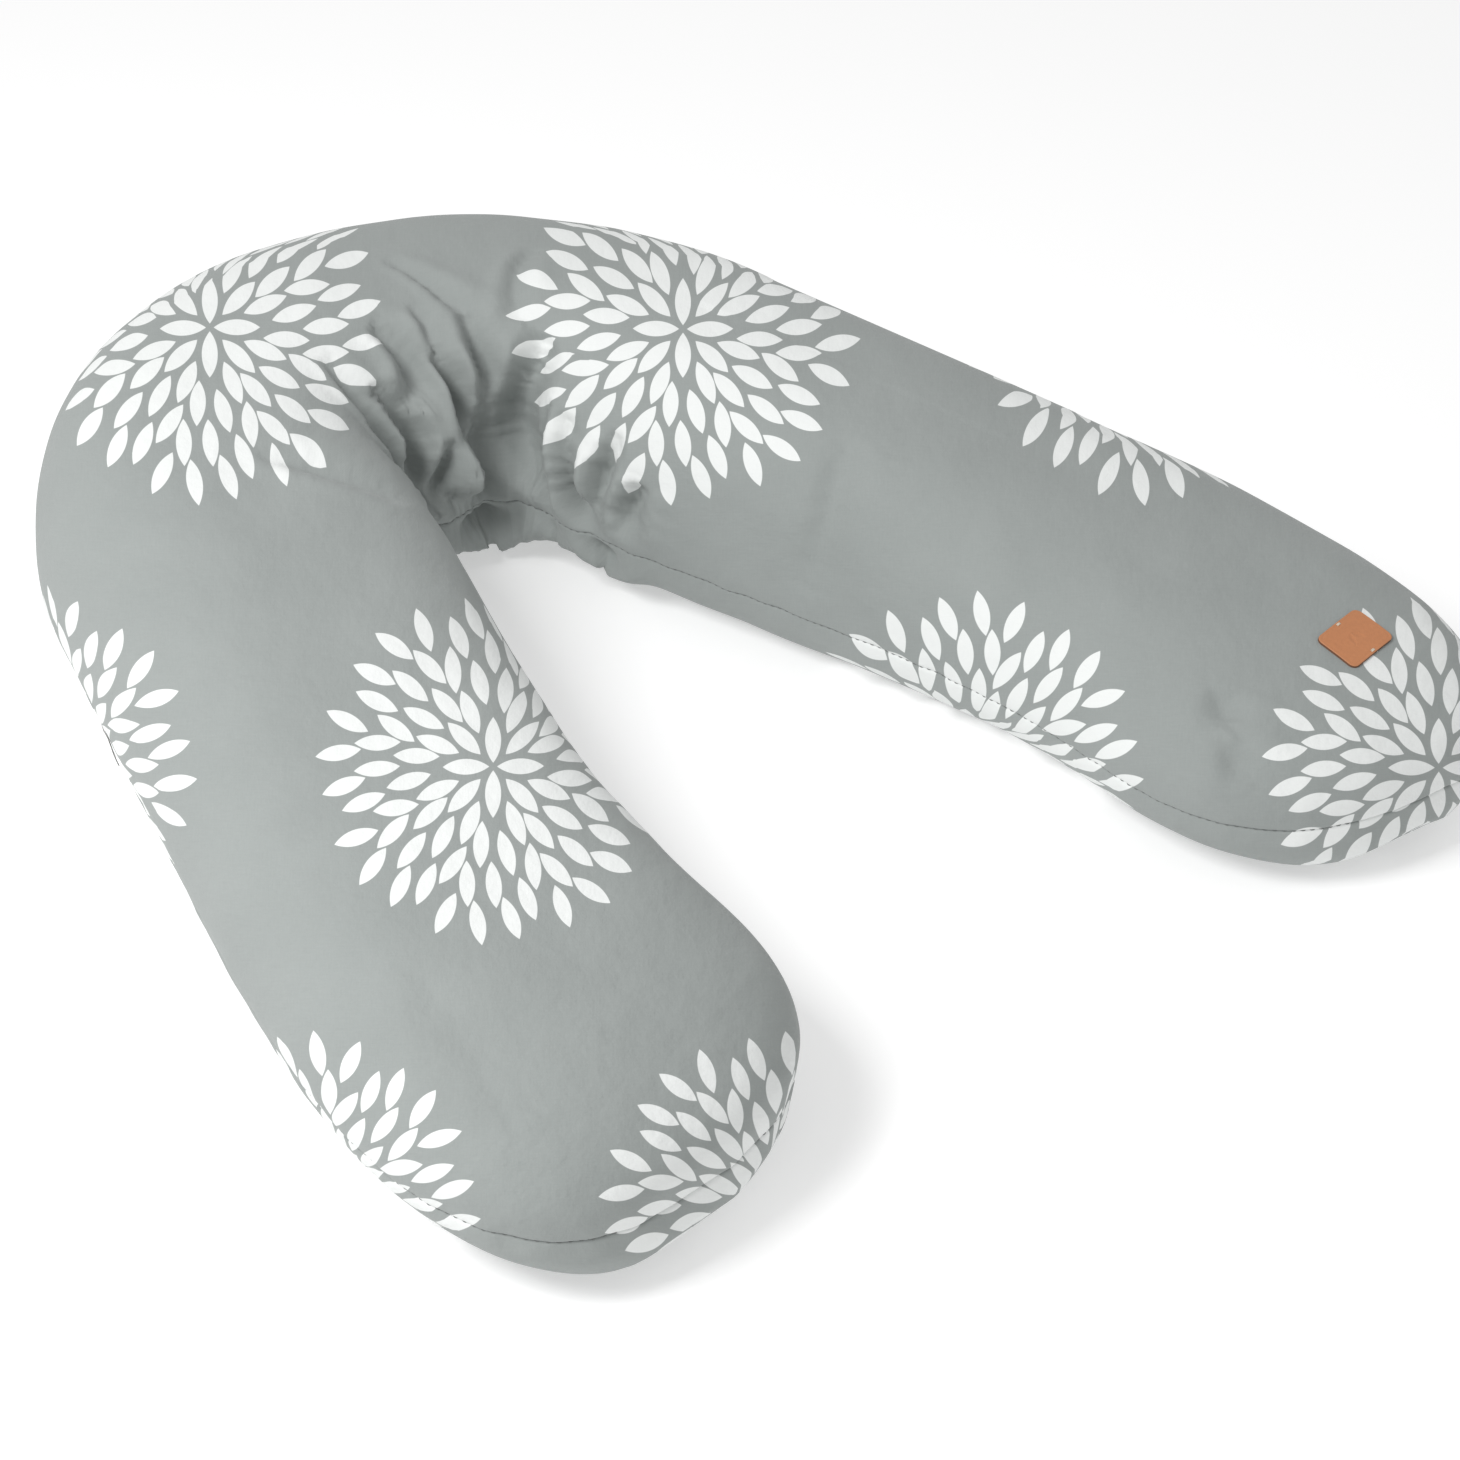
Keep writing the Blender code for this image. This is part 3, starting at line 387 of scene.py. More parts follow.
def run_on(line, start, stop, place, heading, steps):
    """Fills a row of print coordinates from start to stop, straight on by length along the fabric."""
    step = 1 if stop >= start else -1
    heading = heading / max(np.linalg.norm(heading), 1e-9)
    line[start] = place
    for j in range(start + step, stop + step, step):
        line[j] = line[j - step] + heading * steps[min(j, j - step)]


def print_map(panel, upper=None):
    """Print coordinates: flat in the view where the panel faces it, and run on round its far sides.

    The lower panel takes up the upper one's print at each seam, and the two runs meet underneath.
    """
    flat = seen_in_view(panel.base)
    facing = facing_view(panel)
    steps = np.linalg.norm(np.diff(panel.base, axis=1), axis=2)
    out = flat.copy()
    end = flat.shape[1] - 1
    for i in range(len(flat)):
        if upper is None:
            best = int(np.argmax(facing[i]))
            runs = ((best, end, 1), (best, 0, -1))
        else:
            runs = ((0, end // 2, 1), (end, end // 2 + 1, -1))
        for first, stop, step in runs:
            j = first
            while j != stop and facing[i, j] > FACING_LIMIT:
                j += step
            place = flat[i, j]
            if j != first:
                heading = place - flat[i, j - step * min(HEADING_STEPS, abs(j - first))]
            elif upper is None:
                heading = flat[i, min(max(j + step * HEADING_STEPS, 0), end)] - place
            else:
                seam, inside = (-1, -1 - HEADING_STEPS) if step > 0 else (0, HEADING_STEPS)
                place = upper[i, seam]
                heading = place - upper[i, inside]
            run_on(out[i], j, stop, place, heading, steps[i])
    return out


# -------- materials
def set_inputs(node, settings):
    for name, value in settings.items():
        node.inputs[name].default_value = value


class Graph:
    """Short calls that add nodes to a tree and link them."""

    def __init__(self, tree):
        self.tree = tree

    def put(self, value, socket):
        if isinstance(value, bpy.types.NodeSocket):
            self.tree.links.new(value, socket)
        else:
            socket.default_value = value

    def node(self, kind, **settings):
        made = self.tree.nodes.new(kind)
        for key, value in settings.items():
            setattr(made, key, value)
        return made

    def math(self, operation, *values):
        made = self.node("ShaderNodeMath", operation=operation)
        for value, socket in zip(values, made.inputs):
            self.put(value, socket)
        return made.outputs[0]

    def add(self, a, b):
        return self.math("ADD", a, b)

    def subtract(self, a, b):
        return self.math("SUBTRACT", a, b)

    def times(self, a, b):
        return self.math("MULTIPLY", a, b)

    def over(self, a, b):
        return self.math("DIVIDE", a, b)

    def length(self, a, b):
        return self.math("SQRT", self.add(self.times(a, a), self.times(b, b)))

    def blend(self, a, b, share=0.5):
        return self.add(self.times(a, share), self.times(b, 1.0 - share))

    def mix(self, factor, a, b):
        made = self.node("ShaderNodeMix", data_type="RGBA")
        self.put(factor, made.inputs[0])
        self.put(a, made.inputs[6])
        self.put(b, made.inputs[7])
        return made.outputs[2]

    def noise(self, vector, scale, detail=2.0, roughness=0.5):
        made = self.node("ShaderNodeTexNoise")
        self.put(vector, made.inputs["Vector"])
        set_inputs(made, {"Scale": scale, "Detail": detail, "Roughness": roughness})
        return made.outputs["Fac"]

    def cells(self, vector, scale):
        made = self.node("ShaderNodeTexVoronoi")
        self.put(vector, made.inputs["Vector"])
        made.inputs["Scale"].default_value = scale
        return made.outputs["Distance"]

    def vector(self, x, y):
        made = self.node("ShaderNodeCombineXYZ")
        self.put(x, made.inputs[0])
        self.put(y, made.inputs[1])
        return made.outputs[0]

    def bump(self, height, distance, normal=None):
        made = self.node("ShaderNodeBump")
        self.put(height, made.inputs["Height"])
        made.inputs["Distance"].default_value = distance
        if normal is not None:
            self.put(normal, made.inputs["Normal"])
        return made.outputs[0]


def new_finish(name):
    """A new material, with short calls for its nodes, and its shader."""
    finish = bpy.data.materials.new(name)
    finish.use_nodes = True
    return finish, Graph(finish.node_tree), finish.node_tree.nodes["Principled BSDF"]


# rosette print: petals stand in rings round a centre, (count, radius, first angle, tilt) each
PETAL_LENGTH = 0.0316
PETAL_WIDTH = 0.0110
PETAL_EDGE = 0.0003
PETAL_RINGS = (
    (4, 0.0182, 0.0, 0.0), (4, 0.0275, 45.0, 0.0), (8, 0.0403, 22.5, 0.0),
    (8, 0.0521, -8.8, 6.0), (8, 0.0574, 9.2, 8.0), (8, 0.0706, 22.5, -14.0), (8, 0.0780, 0.4, 6.0),
    (8, 0.0796, -12.6, 14.0), (8, 0.0900, 15.0, 6.0), (8, 0.1045, -5.6, 16.0), (8, 0.1010, 7.0, 14.0),
    (8, 0.1030, 27.0, -8.0),
)
ROSETTE_PITCH = 0.3180
ROSETTE_ROW = 0.2958
ROSETTE_SHIFT = 0.1903
ROSETTE_AT = (-0.0316, 0.2703)
PRINT_GREYS = ((0.243, 0.263, 0.256, 1), (0.337, 0.360, 0.351, 1))
PRINT_WHITES = ((0.72, 0.74, 0.73, 1), (0.81, 0.825, 0.815, 1))

# the cotton: scales in waves per metre, heights in metres
YARN_ACROSS = 900.0
WEFT_ALONG = 90.0
WARP_ALONG = 110.0
PATCHY_SCALE = 14.0
WEAVE_PITCH = 0.0009
WEAVE_SHARE = 0.3
WEAVE_HEIGHT = 0.00012
RIPPLE_SCALE = 38.0
RIPPLE_HEIGHT = 0.0022


def lens_radius(half, thick):
    """Radius of the two arcs of a lens, from half its length and half its width."""
    return (half ** 2 + thick ** 2) / (2 * thick)


def petal_ring_group():
    """Node group: 1 inside the petals of one ring, 0 outside, from a point's radius and angle."""
    tree = bpy.data.node_groups.new("petal_ring", "ShaderNodeTree")
    for label in ("Radius", "Angle", "Count", "Ring", "First", "Tilt"):
        tree.interface.new_socket(label, in_out="INPUT", socket_type="NodeSocketFloat")
    tree.interface.new_socket("Petal", in_out="OUTPUT", socket_type="NodeSocketFloat")
    graph = Graph(tree)
    given = graph.node("NodeGroupInput").outputs
    sector = graph.over(2 * math.pi, given["Count"])
    turned = graph.over(graph.subtract(given["Angle"], given["First"]), sector)
    own = graph.times(graph.subtract(turned, graph.math("ROUND", turned)), sector)
    out = graph.subtract(graph.times(given["Radius"], graph.math("COSINE", own)), given["Ring"])
    side = graph.times(given["Radius"], graph.math("SINE", own))
    cos = graph.math("COSINE", given["Tilt"])
    sin = graph.math("SINE", given["Tilt"])
    along = graph.add(graph.times(out, cos), graph.times(side, sin))
    off = graph.subtract(graph.times(side, cos), graph.times(out, sin))
    arc = lens_radius(PETAL_LENGTH / 2, PETAL_WIDTH / 2)
    deep = graph.add(graph.math("ABSOLUTE", off), arc - PETAL_WIDTH / 2)
    edge = graph.over(graph.subtract(arc, graph.length(along, deep)), PETAL_EDGE)
    clamp = graph.node("ShaderNodeClamp")
    graph.put(edge, clamp.inputs[0])
    result = graph.node("NodeGroupOutput")
    graph.put(clamp.outputs[0], result.inputs[0])
    return tree


def rosettes(graph, u, v):
    """Mask of the whole print: a lattice of rosettes, each row shifted sideways."""
    rise = graph.subtract(v, ROSETTE_AT[1])
    row = graph.math("ROUND", graph.over(rise, ROSETTE_ROW))
    down = graph.subtract(rise, graph.times(row, ROSETTE_ROW))
    offset = graph.add(graph.subtract(u, ROSETTE_AT[0]), graph.times(row, ROSETTE_SHIFT))
    column = graph.math("ROUND", graph.over(offset, ROSETTE_PITCH))
    aside = graph.subtract(offset, graph.times(column, ROSETTE_PITCH))
    radius = graph.length(aside, down)
    angle = graph.math("ARCTAN2", down, aside)
    group = petal_ring_group()
    mask = 0.0
    for count, ring, first, tilt in PETAL_RINGS:
        made = graph.node("ShaderNodeGroup", node_tree=group)
        values = (radius, angle, count, ring, math.radians(first), math.radians(tilt))
        for value, socket in zip(values, made.inputs):
            graph.put(value, socket)
        mask = graph.math("MAXIMUM", mask, made.outputs[0])
    return mask


def printed_cotton():
    finish, graph, shader = new_finish("printed_cotton")
    uv = graph.node("ShaderNodeUVMap", uv_map="print").outputs[0]
    split = graph.node("ShaderNodeSeparateXYZ")
    graph.put(uv, split.inputs[0])
    u, v = split.outputs[0], split.outputs[1]
    wefts = graph.vector(graph.times(u, WEFT_ALONG), graph.times(v, YARN_ACROSS))
    warps = graph.vector(graph.times(u, YARN_ACROSS), graph.times(v, WARP_ALONG))
    yarn = graph.blend(graph.noise(wefts, 1.0, 3.0), graph.noise(warps, 1.0, 3.0))
    tone = graph.blend(yarn, graph.noise(uv, PATCHY_SCALE))
    ground = graph.mix(tone, *PRINT_GREYS)
    petals = graph.mix(tone, *PRINT_WHITES)
    graph.put(graph.mix(rosettes(graph, u, v), ground, petals), shader.inputs["Base Color"])
    warp, weft = (graph.math("SINE", graph.times(way, 2 * math.pi / WEAVE_PITCH)) for way in (u, v))
    weave = graph.add(graph.times(graph.times(warp, weft), WEAVE_SHARE), yarn)
    ripples = graph.bump(graph.noise(uv, RIPPLE_SCALE, 4.0, 0.55), RIPPLE_HEIGHT)
    graph.put(graph.bump(weave, WEAVE_HEIGHT, ripples), shader.inputs["Normal"])
    set_inputs(shader, {"Roughness": 0.82, "Sheen Weight": 0.12, "Sheen Roughness": 0.5,
                        "Specular IOR Level": 0.3})
    return finish


def textured(name, colour, roughness, scale, depth, spread=0.06, sheen=0.0, metallic=0.0,
             stretch=(1, 1, 1), pores=None):
    """A plain material with small variations of colour and height at a real scale."""
    finish, graph, shader = new_finish(name)
    place = graph.node("ShaderNodeTexCoord").outputs["Object"]
    mapping = graph.node("ShaderNodeMapping")
    graph.put(place, mapping.inputs["Vector"])
    mapping.inputs["Scale"].default_value = stretch
    grain = graph.noise(mapping.outputs[0], scale, 3.0)
    tone = graph.blend(grain, graph.noise(place, scale * 0.06), 0.6)
    low = tuple(max(0.0, value * (1 - spread)) for value in colour) + (1,)
    high = tuple(min(1.0, value * (1 + spread)) for value in colour) + (1,)
    graph.put(graph.mix(tone, low, high), shader.inputs["Base Color"])
    normal = graph.bump(grain, depth)
    if pores:
        normal = graph.bump(graph.cells(place, pores[0]), pores[1], normal)
    graph.put(normal, shader.inputs["Normal"])
    set_inputs(shader, {"Roughness": roughness, "Sheen Weight": sheen, "Metallic": metallic})
    return finish


def thread_finish(name, colour):
    return textured(name, colour, 0.75, 2500.0, 0.00008, spread=0.15, sheen=0.3)


def satin():
    return textured("white_satin", (0.86, 0.86, 0.84), 0.42, 900.0, 0.00005, spread=0.04, sheen=0.1,
                    stretch=(1, 1, 6))


def zip_metal():
    return textured("zip_metal", (0.62, 0.61, 0.59), 0.32, 900.0, 0.00003, spread=0.08, metallic=1.0)


def zip_tape():
    return textured("zip_tape", (0.38, 0.40, 0.39), 0.85, 1400.0, 0.0001, spread=0.12, sheen=0.2,
                    stretch=(1, 1, 3))


def leather():
    """Tan leather with fine wrinkles and pores."""
    return textured("tan_leather", (0.49, 0.20, 0.085), 0.55, 420.0, 0.0001, spread=0.16,
                    pores=(1300.0, 0.00006))


def shaded_leather_edge():
    """The leather's cut edge, a darker copy of its face colour: painted shade on the patch's sides."""
    return textured("tan_leather_edge", (0.16, 0.07, 0.035), 0.7, 600.0, 0.0001, spread=0.2)


def foam_beads():
    finish, graph, shader = new_finish("foam_beads")
    beads = graph.cells(graph.node("ShaderNodeTexCoord").outputs["Object"], 700.0)
    graph.put(graph.mix(beads, (0.95, 0.95, 0.93, 1), (0.80, 0.80, 0.78, 1)), shader.inputs["Base Color"])
    set_inputs(shader, {"Roughness": 0.7})
    return finish


# -------- floor, light and camera
FLOOR_HALF = 30.0
FLOOR_GAP = 0.0005
FLOOR_GREY = 0.66
FLOOR_GLOW = 0.42
AMBIENT = 0.60
KEY_PLACE = (-1.65, -0.15, 2.00)
KEY_SIZE = 0.9
KEY_POWER = 46.0


def add_floor():
    mesh = bpy.data.meshes.new("floor")
    corners = [(x * FLOOR_HALF, y * FLOOR_HALF, 0) for x, y in ((-1, -1), (1, -1), (1, 1), (-1, 1))]
    mesh.from_pydata(corners, [], [(0, 1, 2, 3)])
    finish, _, shader = new_finish("pale_floor")
    set_inputs(shader, {"Base Color": (FLOOR_GREY, FLOOR_GREY, FLOOR_GREY, 1), "Roughness": 0.9,
                        "Specular IOR Level": 0.0, "Emission Color": (1, 1, 1, 1),
                        "Emission Strength": FLOOR_GLOW})
    mesh.materials.append(finish)
    floor = add_object("floor", mesh)
    floor.location.z = CAD_BOX[0][2] - FLOOR_GAP


def add_light():
    """White surroundings and one square lamp, aimed at the middle of the view."""
    world = bpy.data.worlds.new("studio")
    world.use_nodes = True
    set_inputs(world.node_tree.nodes["Background"], {"Color": (1, 1, 1, 1), "Strength": AMBIENT})
    bpy.context.scene.world = world
    lamp = bpy.data.lights.new("key", "AREA")
    lamp.shape = "SQUARE"
    lamp.size = KEY_SIZE
    lamp.energy = KEY_POWER
    key = add_object("key", lamp)
    key.location = KEY_PLACE
    aim = Vector(VIEW_TARGET) - Vector(KEY_PLACE)
    key.rotation_euler = aim.to_track_quat("-Z", "Y").to_euler()
    bpy.context.scene.view_settings.view_transform = "Standard"


def add_camera():
    lens = bpy.data.cameras.new("camera")
    lens.lens = VIEW_LENS
    lens.sensor_width = 36.0
    camera = add_object("camera", lens)
    axes = Matrix((VIEW_RIGHT, VIEW_UP, VIEW_BACK)).transposed()
    camera.matrix_world = Matrix.Translation(Vector(VIEW_EYE)) @ axes.to_4x4()
    bpy.context.scene.camera = camera


# -------- creases
# Each crease: its points as (distance along the pillow, share across the top panel), depth, width.
# A share over 1 runs on under the inner seam.
CREASES = (
    (((0.078, 0.68), (0.100, 0.78), (0.098, 0.86), (0.090, 0.93), (0.085, 1.02)), 0.030, 0.0115),
    (((0.020, 0.73), (0.044, 0.80), (0.056, 0.86), (0.070, 0.92)), 0.022, 0.0090),
    (((-0.104, 0.74), (-0.080, 0.83), (-0.084, 0.88), (-0.078, 0.93), (-0.060, 0.98)), 0.024, 0.0105),
    (((-0.036, 0.66), (-0.024, 0.74), (-0.056, 0.81)), 0.013, 0.0120),
    (((0.000, 0.86), (-0.030, 0.92), (-0.048, 0.97)), 0.015, 0.0080),
    (((-0.020, 0.95), (0.010, 0.98), (0.045, 1.03)), 0.024, 0.0130),
    (((0.188, 0.70), (0.152, 0.82), (0.150, 0.88), (0.165, 0.93), (0.195, 0.98)), 0.030, 0.0165),
    (((0.270, 0.80), (0.280, 0.90), (0.292, 0.96), (0.310, 1.02)), 0.026, 0.0105),
    (((0.320, 0.80), (0.312, 0.90), (0.318, 0.97)), 0.015, 0.0095),
    (((0.348, 0.86), (0.334, 0.98)), 0.015, 0.0110),
    (((0.034, 0.51), (0.060, 0.63), (0.098, 0.71)), 0.0060, 0.0075),
    (((0.024, 0.65), (0.030, 0.75)), 0.0055, 0.0075),
    (((-0.295, 0.52), (-0.328, 0.62), (-0.356, 0.73)), 0.0060, 0.0150),
    (((0.490, 0.66), (0.504, 0.81), (0.500, 0.95)), 0.0060, 0.0160),
    (((-0.790, 0.31), (-0.860, 0.28), (-0.905, 0.23)), 0.0040, 0.0280),
    (((0.850, 0.74), (0.870, 0.80)), 0.0045, 0.0120),
    (((0.880, 0.82), (0.905, 0.88)), 0.0045, 0.0110),
    (((-0.160, 0.76), (-0.150, 0.88), (-0.140, 1.01)), 0.020, 0.0120),
    (((-0.235, 0.79), (-0.215, 0.90), (-0.205, 1.01)), 0.014, 0.0110),
    (((-0.305, 0.85), (-0.290, 0.95)), 0.008, 0.0110),
    (((0.225, 0.80), (0.222, 0.90), (0.240, 1.01)), 0.011, 0.0085),
    (((-0.120, 0.66), (-0.140, 0.74), (-0.124, 0.84)), 0.007, 0.0095),
    (((0.150, 0.50), (0.138, 0.60), (0.146, 0.70)), 0.005, 0.0085),
)
CREASE_STEPS = 28
CREASE_NEAR = 0.16
CREASE_UNDER = 0.4
CREASE_DEPTH = 1.2
CREASE_TAPER = 0.7
CREASE_START = 0.7
CREASE_GROWTH = 0.5
CREASE_LIP = 0.26
CREASE_LIP_AT = 2.1
CREASE_STEEP = 0.70
CREASE_GENTLE = 1.20
CREASE_POINT = 1.8
SEAM_HOLD = 0.10
SEAM_REACH = 0.028


def smooth_route(points, steps):
    """Points along a smooth curve through a few given ones."""
    points = np.array(points, float)
    at = np.linspace(0, len(points) - 1, steps)
    padded = np.concatenate([2 * points[:1] - points[1:2], points, 2 * points[-1:] - points[-2:-1]])
    i = np.minimum(at.astype(int), len(points) - 2)
    f = (at - i)[:, None]
    a, b, c, d = padded[i], padded[i + 1], padded[i + 2], padded[i + 3]
    curve = 2 * b + (c - a) * f
    curve += (2 * a - 5 * b + 4 * c - d) * f ** 2
    curve += (3 * b - a - 3 * c + d) * f ** 3
    return 0.5 * curve


def crease_line(cover, route):
    """Points of a crease on the undented cover."""
    line = []
    for distance, share in smooth_route(route, CREASE_STEPS):
        spot = cover.place(distance, min(share, 1.0))
        spot[2] -= max(0.0, share - 1.0) * CREASE_UNDER
        line.append(spot)
    return np.array(line)


def crease_depth(cover, panel):
    """How far each point of a panel is pushed in by the creases, and out beside them."""
    flat = panel.base.reshape(-1, 3)
    outward = panel.flat_normals.reshape(-1, 3)
    total = np.zeros(len(flat))
    for route, deep, width in CREASES:
        line = crease_line(cover, route)
        near = np.flatnonzero(np.linalg.norm(flat - line.mean(0), axis=1) < CREASE_NEAR)
        gaps = np.linalg.norm(flat[near, None] - line[None], axis=2)
        nearest = gaps.argmin(1)
        gap = gaps.min(1)
        leaning = np.cross(outward[near], np.gradient(line, axis=0)[nearest])
        gentle = ((flat[near] - line[nearest]) * leaning).sum(1) > 0
        t = nearest / (CREASE_STEPS - 1)
        runs_under = route[-1][1] > 1.0
        taper = np.sin(math.pi * (t / 2 if runs_under else t)) ** CREASE_TAPER
        wide = width * (CREASE_START + CREASE_GROWTH * t)
        wide = wide * np.where(gentle, CREASE_GENTLE, CREASE_STEEP)
        valley = np.exp(-(gap / wide) ** CREASE_POINT)
        lip = np.exp(-((gap - CREASE_LIP_AT * wide) / wide) ** 2) * CREASE_LIP
        total[near] += CREASE_DEPTH * deep * taper * (lip - valley)
    held = SEAM_HOLD + (1.0 - SEAM_HOLD) * ease(panel.from_seam / SEAM_REACH)
    return total.reshape(panel.base.shape[:2]) * held


# -------- the cover's finer shape
# soft lumps: height, scale and seed of each noise
LUMPS = ((0.0022, 8.0, 1), (0.0010, 21.0, 2))
LUMP_REACH = 0.05
PUCKER_HEIGHT = 0.0016
PUCKER_SCALE = 55.0
PUCKER_REACH = 0.013
SEAM_DIP = 0.0012
SEAM_DIP_REACH = 0.010
ZIP_CALM = 0.9
GATHER_DEPTH = 0.0022
GATHER_SPAN = 0.30
GATHER_REACH = 0.085
GATHERS_ALONG = 34.0
GATHERS_ACROSS = 5.0
ROLL_RADIUS = 0.0032
ROLL_SHARE = 0.6
ROLL_SAVED_AT_ZIP = 0.75


def wobble(points, scale, seed):
    """Smooth noise at points, from -1 to 1."""
    shift = Vector((seed * 7.1, seed * 3.7, seed * 5.3))
    values = [noise.noise(Vector(point) * scale + shift) for point in points.reshape(-1, 3)]
    return np.array(values).reshape(points.shape[:-1])


def unevenness(cover, panel):
    """Soft lumps of the filling, and puckers that the seams pull into the fabric."""
    away = panel.from_seam
    lumps = sum(height * wobble(panel.base, scale, seed) for height, scale, seed in LUMPS)
    puckers = PUCKER_HEIGHT * wobble(panel.base, PUCKER_SCALE, 3) * np.exp(-away / PUCKER_REACH)
    dips = -SEAM_DIP * np.exp(-(away / SEAM_DIP_REACH) ** 2)
    calm = 1.0 - ZIP_CALM * near_zip(cover.distances)[:, None] * panel.outer_half
    uneven = lumps * np.clip(away / LUMP_REACH, 0, 1) + puckers + dips
    return uneven * calm + GATHER_DEPTH * gather_shape(cover, panel)


def gather_shape(cover, panel):
    """Narrow folds across the inside of the crown, where the fabric is gathered by the bend."""
    inner = panel.from_inner
    along = np.broadcast_to(cover.distances[:, None], inner.shape)
    strength = np.exp(-(along / GATHER_SPAN) ** 4) * np.exp(-(inner / GATHER_REACH) ** 2)
    sample = np.stack([along * GATHERS_ALONG, inner * GATHERS_ACROSS, np.zeros(inner.shape)], 2)
    ridged = 1.0 - 2.0 * np.abs(wobble(sample, 1.0, 4))
    return strength * (ridged - 0.6)


def roll_in(cover, panel):
    """Fabric turns in over a small radius at its seams, and less at the zip."""
    depth = np.zeros(panel.share.shape)
    at_zip = near_zip(cover.distances)[:, None]
    for away, kept in ((panel.from_outer, 1.0 - ROLL_SAVED_AT_ZIP * at_zip), (panel.from_inner, 1.0)):
        inside = np.clip(1.0 - away / ROLL_RADIUS, 0.0, 1.0)
        depth -= ROLL_RADIUS * ROLL_SHARE * (1.0 - np.sqrt(1.0 - inside ** 2 * 0.98)) * kept
    return depth


def build_cover():
    cover = Cover(ROW_PITCH, TOE_ROWS, TOP_COLUMNS, BOTTOM_COLUMNS)
    for panel in cover.panels:
        panel.dents = crease_depth(cover, panel) + unevenness(cover, panel)
    cover.move([panel.dents for panel in cover.panels])
    for panel in cover.panels:
        panel.unrolled = panel.points
        panel.unrolled_normals = panel.normals
    cover.move([roll_in(cover, panel) for panel in cover.panels])
    cotton = printed_cotton()
    upper = print_map(cover.top)
    lower = print_map(cover.bottom, upper)
    for name, panel, print_at in (("cover_top", cover.top, upper), ("cover_bottom", cover.bottom, lower)):
        made = grid_object(name, panel.points, cotton, print_at)
        declare(made, name + "_panel")
    return cover


# -------- threads
SEAM_STITCH = 0.0042
SEAM_STITCH_PITCH = 0.0062
SEAM_STITCH_RISE = 0.0006
SEAM_STITCH_SINK = 0.0005
SEAM_STITCH_ARCH = 0.0007
SEAM_STITCH_RADIUS = 0.00042
SEAM_START = 0.002
SEAM_TIP = 0.004

# the inner cushion's seams, which run this deep under the cover's
INNER_DEPTH = 0.0072
INNER_STITCH = 0.0048
INNER_STITCH_PITCH = 0.0040
INNER_STITCH_RADIUS = 0.0003
INNER_END = 0.005
INNER_ROW_HALF = 0.0012
CLOSING_HALF = 0.090
CLOSING_GAP = 0.003


def strands(name, paths, ups, radius, finish, node, sides=6):
    """One mesh of many thin strands: paths is an array of strands by points by 3, ups fits it."""
    tangent = unit(np.gradient(paths, axis=1))
    side = unit(np.cross(tangent, ups))
    lift = np.cross(side, tangent)
    ends = np.ones(paths.shape[1])
    ends[0] = ends[-1] = 0.15
    ends[1] = ends[-2] = 0.80
    angle = 2 * math.pi * np.arange(sides) / sides
    ring = side[:, :, None] * np.cos(angle)[:, None] + lift[:, :, None] * np.sin(angle)[:, None]
    points = paths[:, :, None] + ring * (radius * ends)[None, :, None, None]
    number = np.arange(points.size // 3).reshape(points.shape[:3])
    ahead = np.roll(number, -1, 2)
    quads = np.stack([number[:, :-1], ahead[:, :-1], ahead[:, 1:], number[:, 1:]], 3)
    caps = number[:, 0, ::-1].tolist() + number[:, -1].tolist()
    mesh = bpy.data.meshes.new(name)
    mesh.from_pydata(points.reshape(-1, 3).tolist(), [], quads.reshape(-1, 4).tolist() + caps)
    mesh.shade_smooth()
    mesh.materials.append(finish)
    declare(add_object(name, mesh), node)


def along_line(line, normals, starts, length, points):
    """Short runs along a line, each from a start by arc length, with the normals there."""
    reach = arc_lengths(line)
    at = starts[:, None] + np.linspace(0.0, length, points)
    return interpolate(at, reach, line), unit(interpolate(at, reach, normals))


def seam_shade_stitches(cover, finish):
    """Stitches in the groove of the perimeter seam, except along the zip, in dark thread: painted shade
    for the groove's dark line.
    """
    paths, ups = [], []
    arch = SEAM_STITCH_ARCH * np.sin(np.linspace(0, math.pi, 6)) - SEAM_STITCH_SINK
    clear = np.abs(cover.distances) < TOE_END - SEAM_TIP
    before_zip = clear & (cover.distances < ZIP_START - ZIP_TAPER)
    after_zip = clear & (cover.distances > ZIP_END + ZIP_TAPER)
    for outer, runs in ((True, (before_zip, after_zip)), (False, (clear,))):
        line, normals = cover.seam(outer, -SEAM_STITCH_RISE)
        for run in runs:
            total = arc_lengths(line[run])[-1]
            starts = np.arange(SEAM_START, total - SEAM_STITCH, SEAM_STITCH_PITCH)
            place, up = along_line(line[run], normals[run], starts, SEAM_STITCH, 6)
            paths.append(place + up * arch[:, None])
            ups.append(up)
    strands("seam_shade_stitches", np.concatenate(paths), np.concatenate(ups), SEAM_STITCH_RADIUS, finish,
            "cover_seam_thread")


def inner_thread(name, cover, node, runs, finish):
    """A machine seam inside the pillow, as a double row of thread along parts of the perimeter."""
    paths, ups = [], []
    for outer, low, high in runs:
        line, normals = cover.seam(outer, INNER_DEPTH)
        kept = (cover.distances >= low) & (cover.distances <= high)
        total = arc_lengths(line[kept])[-1]
        starts = np.arange(0.0, total - INNER_END, INNER_STITCH_PITCH)
        place, up = along_line(line[kept], normals[kept], starts, INNER_STITCH, 5)
        for row in (-INNER_ROW_HALF, INNER_ROW_HALF):
            paths.append(place + np.array((0, 0, row)))
            ups.append(up)
    strands(name, np.concatenate(paths), np.concatenate(ups), INNER_STITCH_RADIUS, finish,
            node, sides=5)


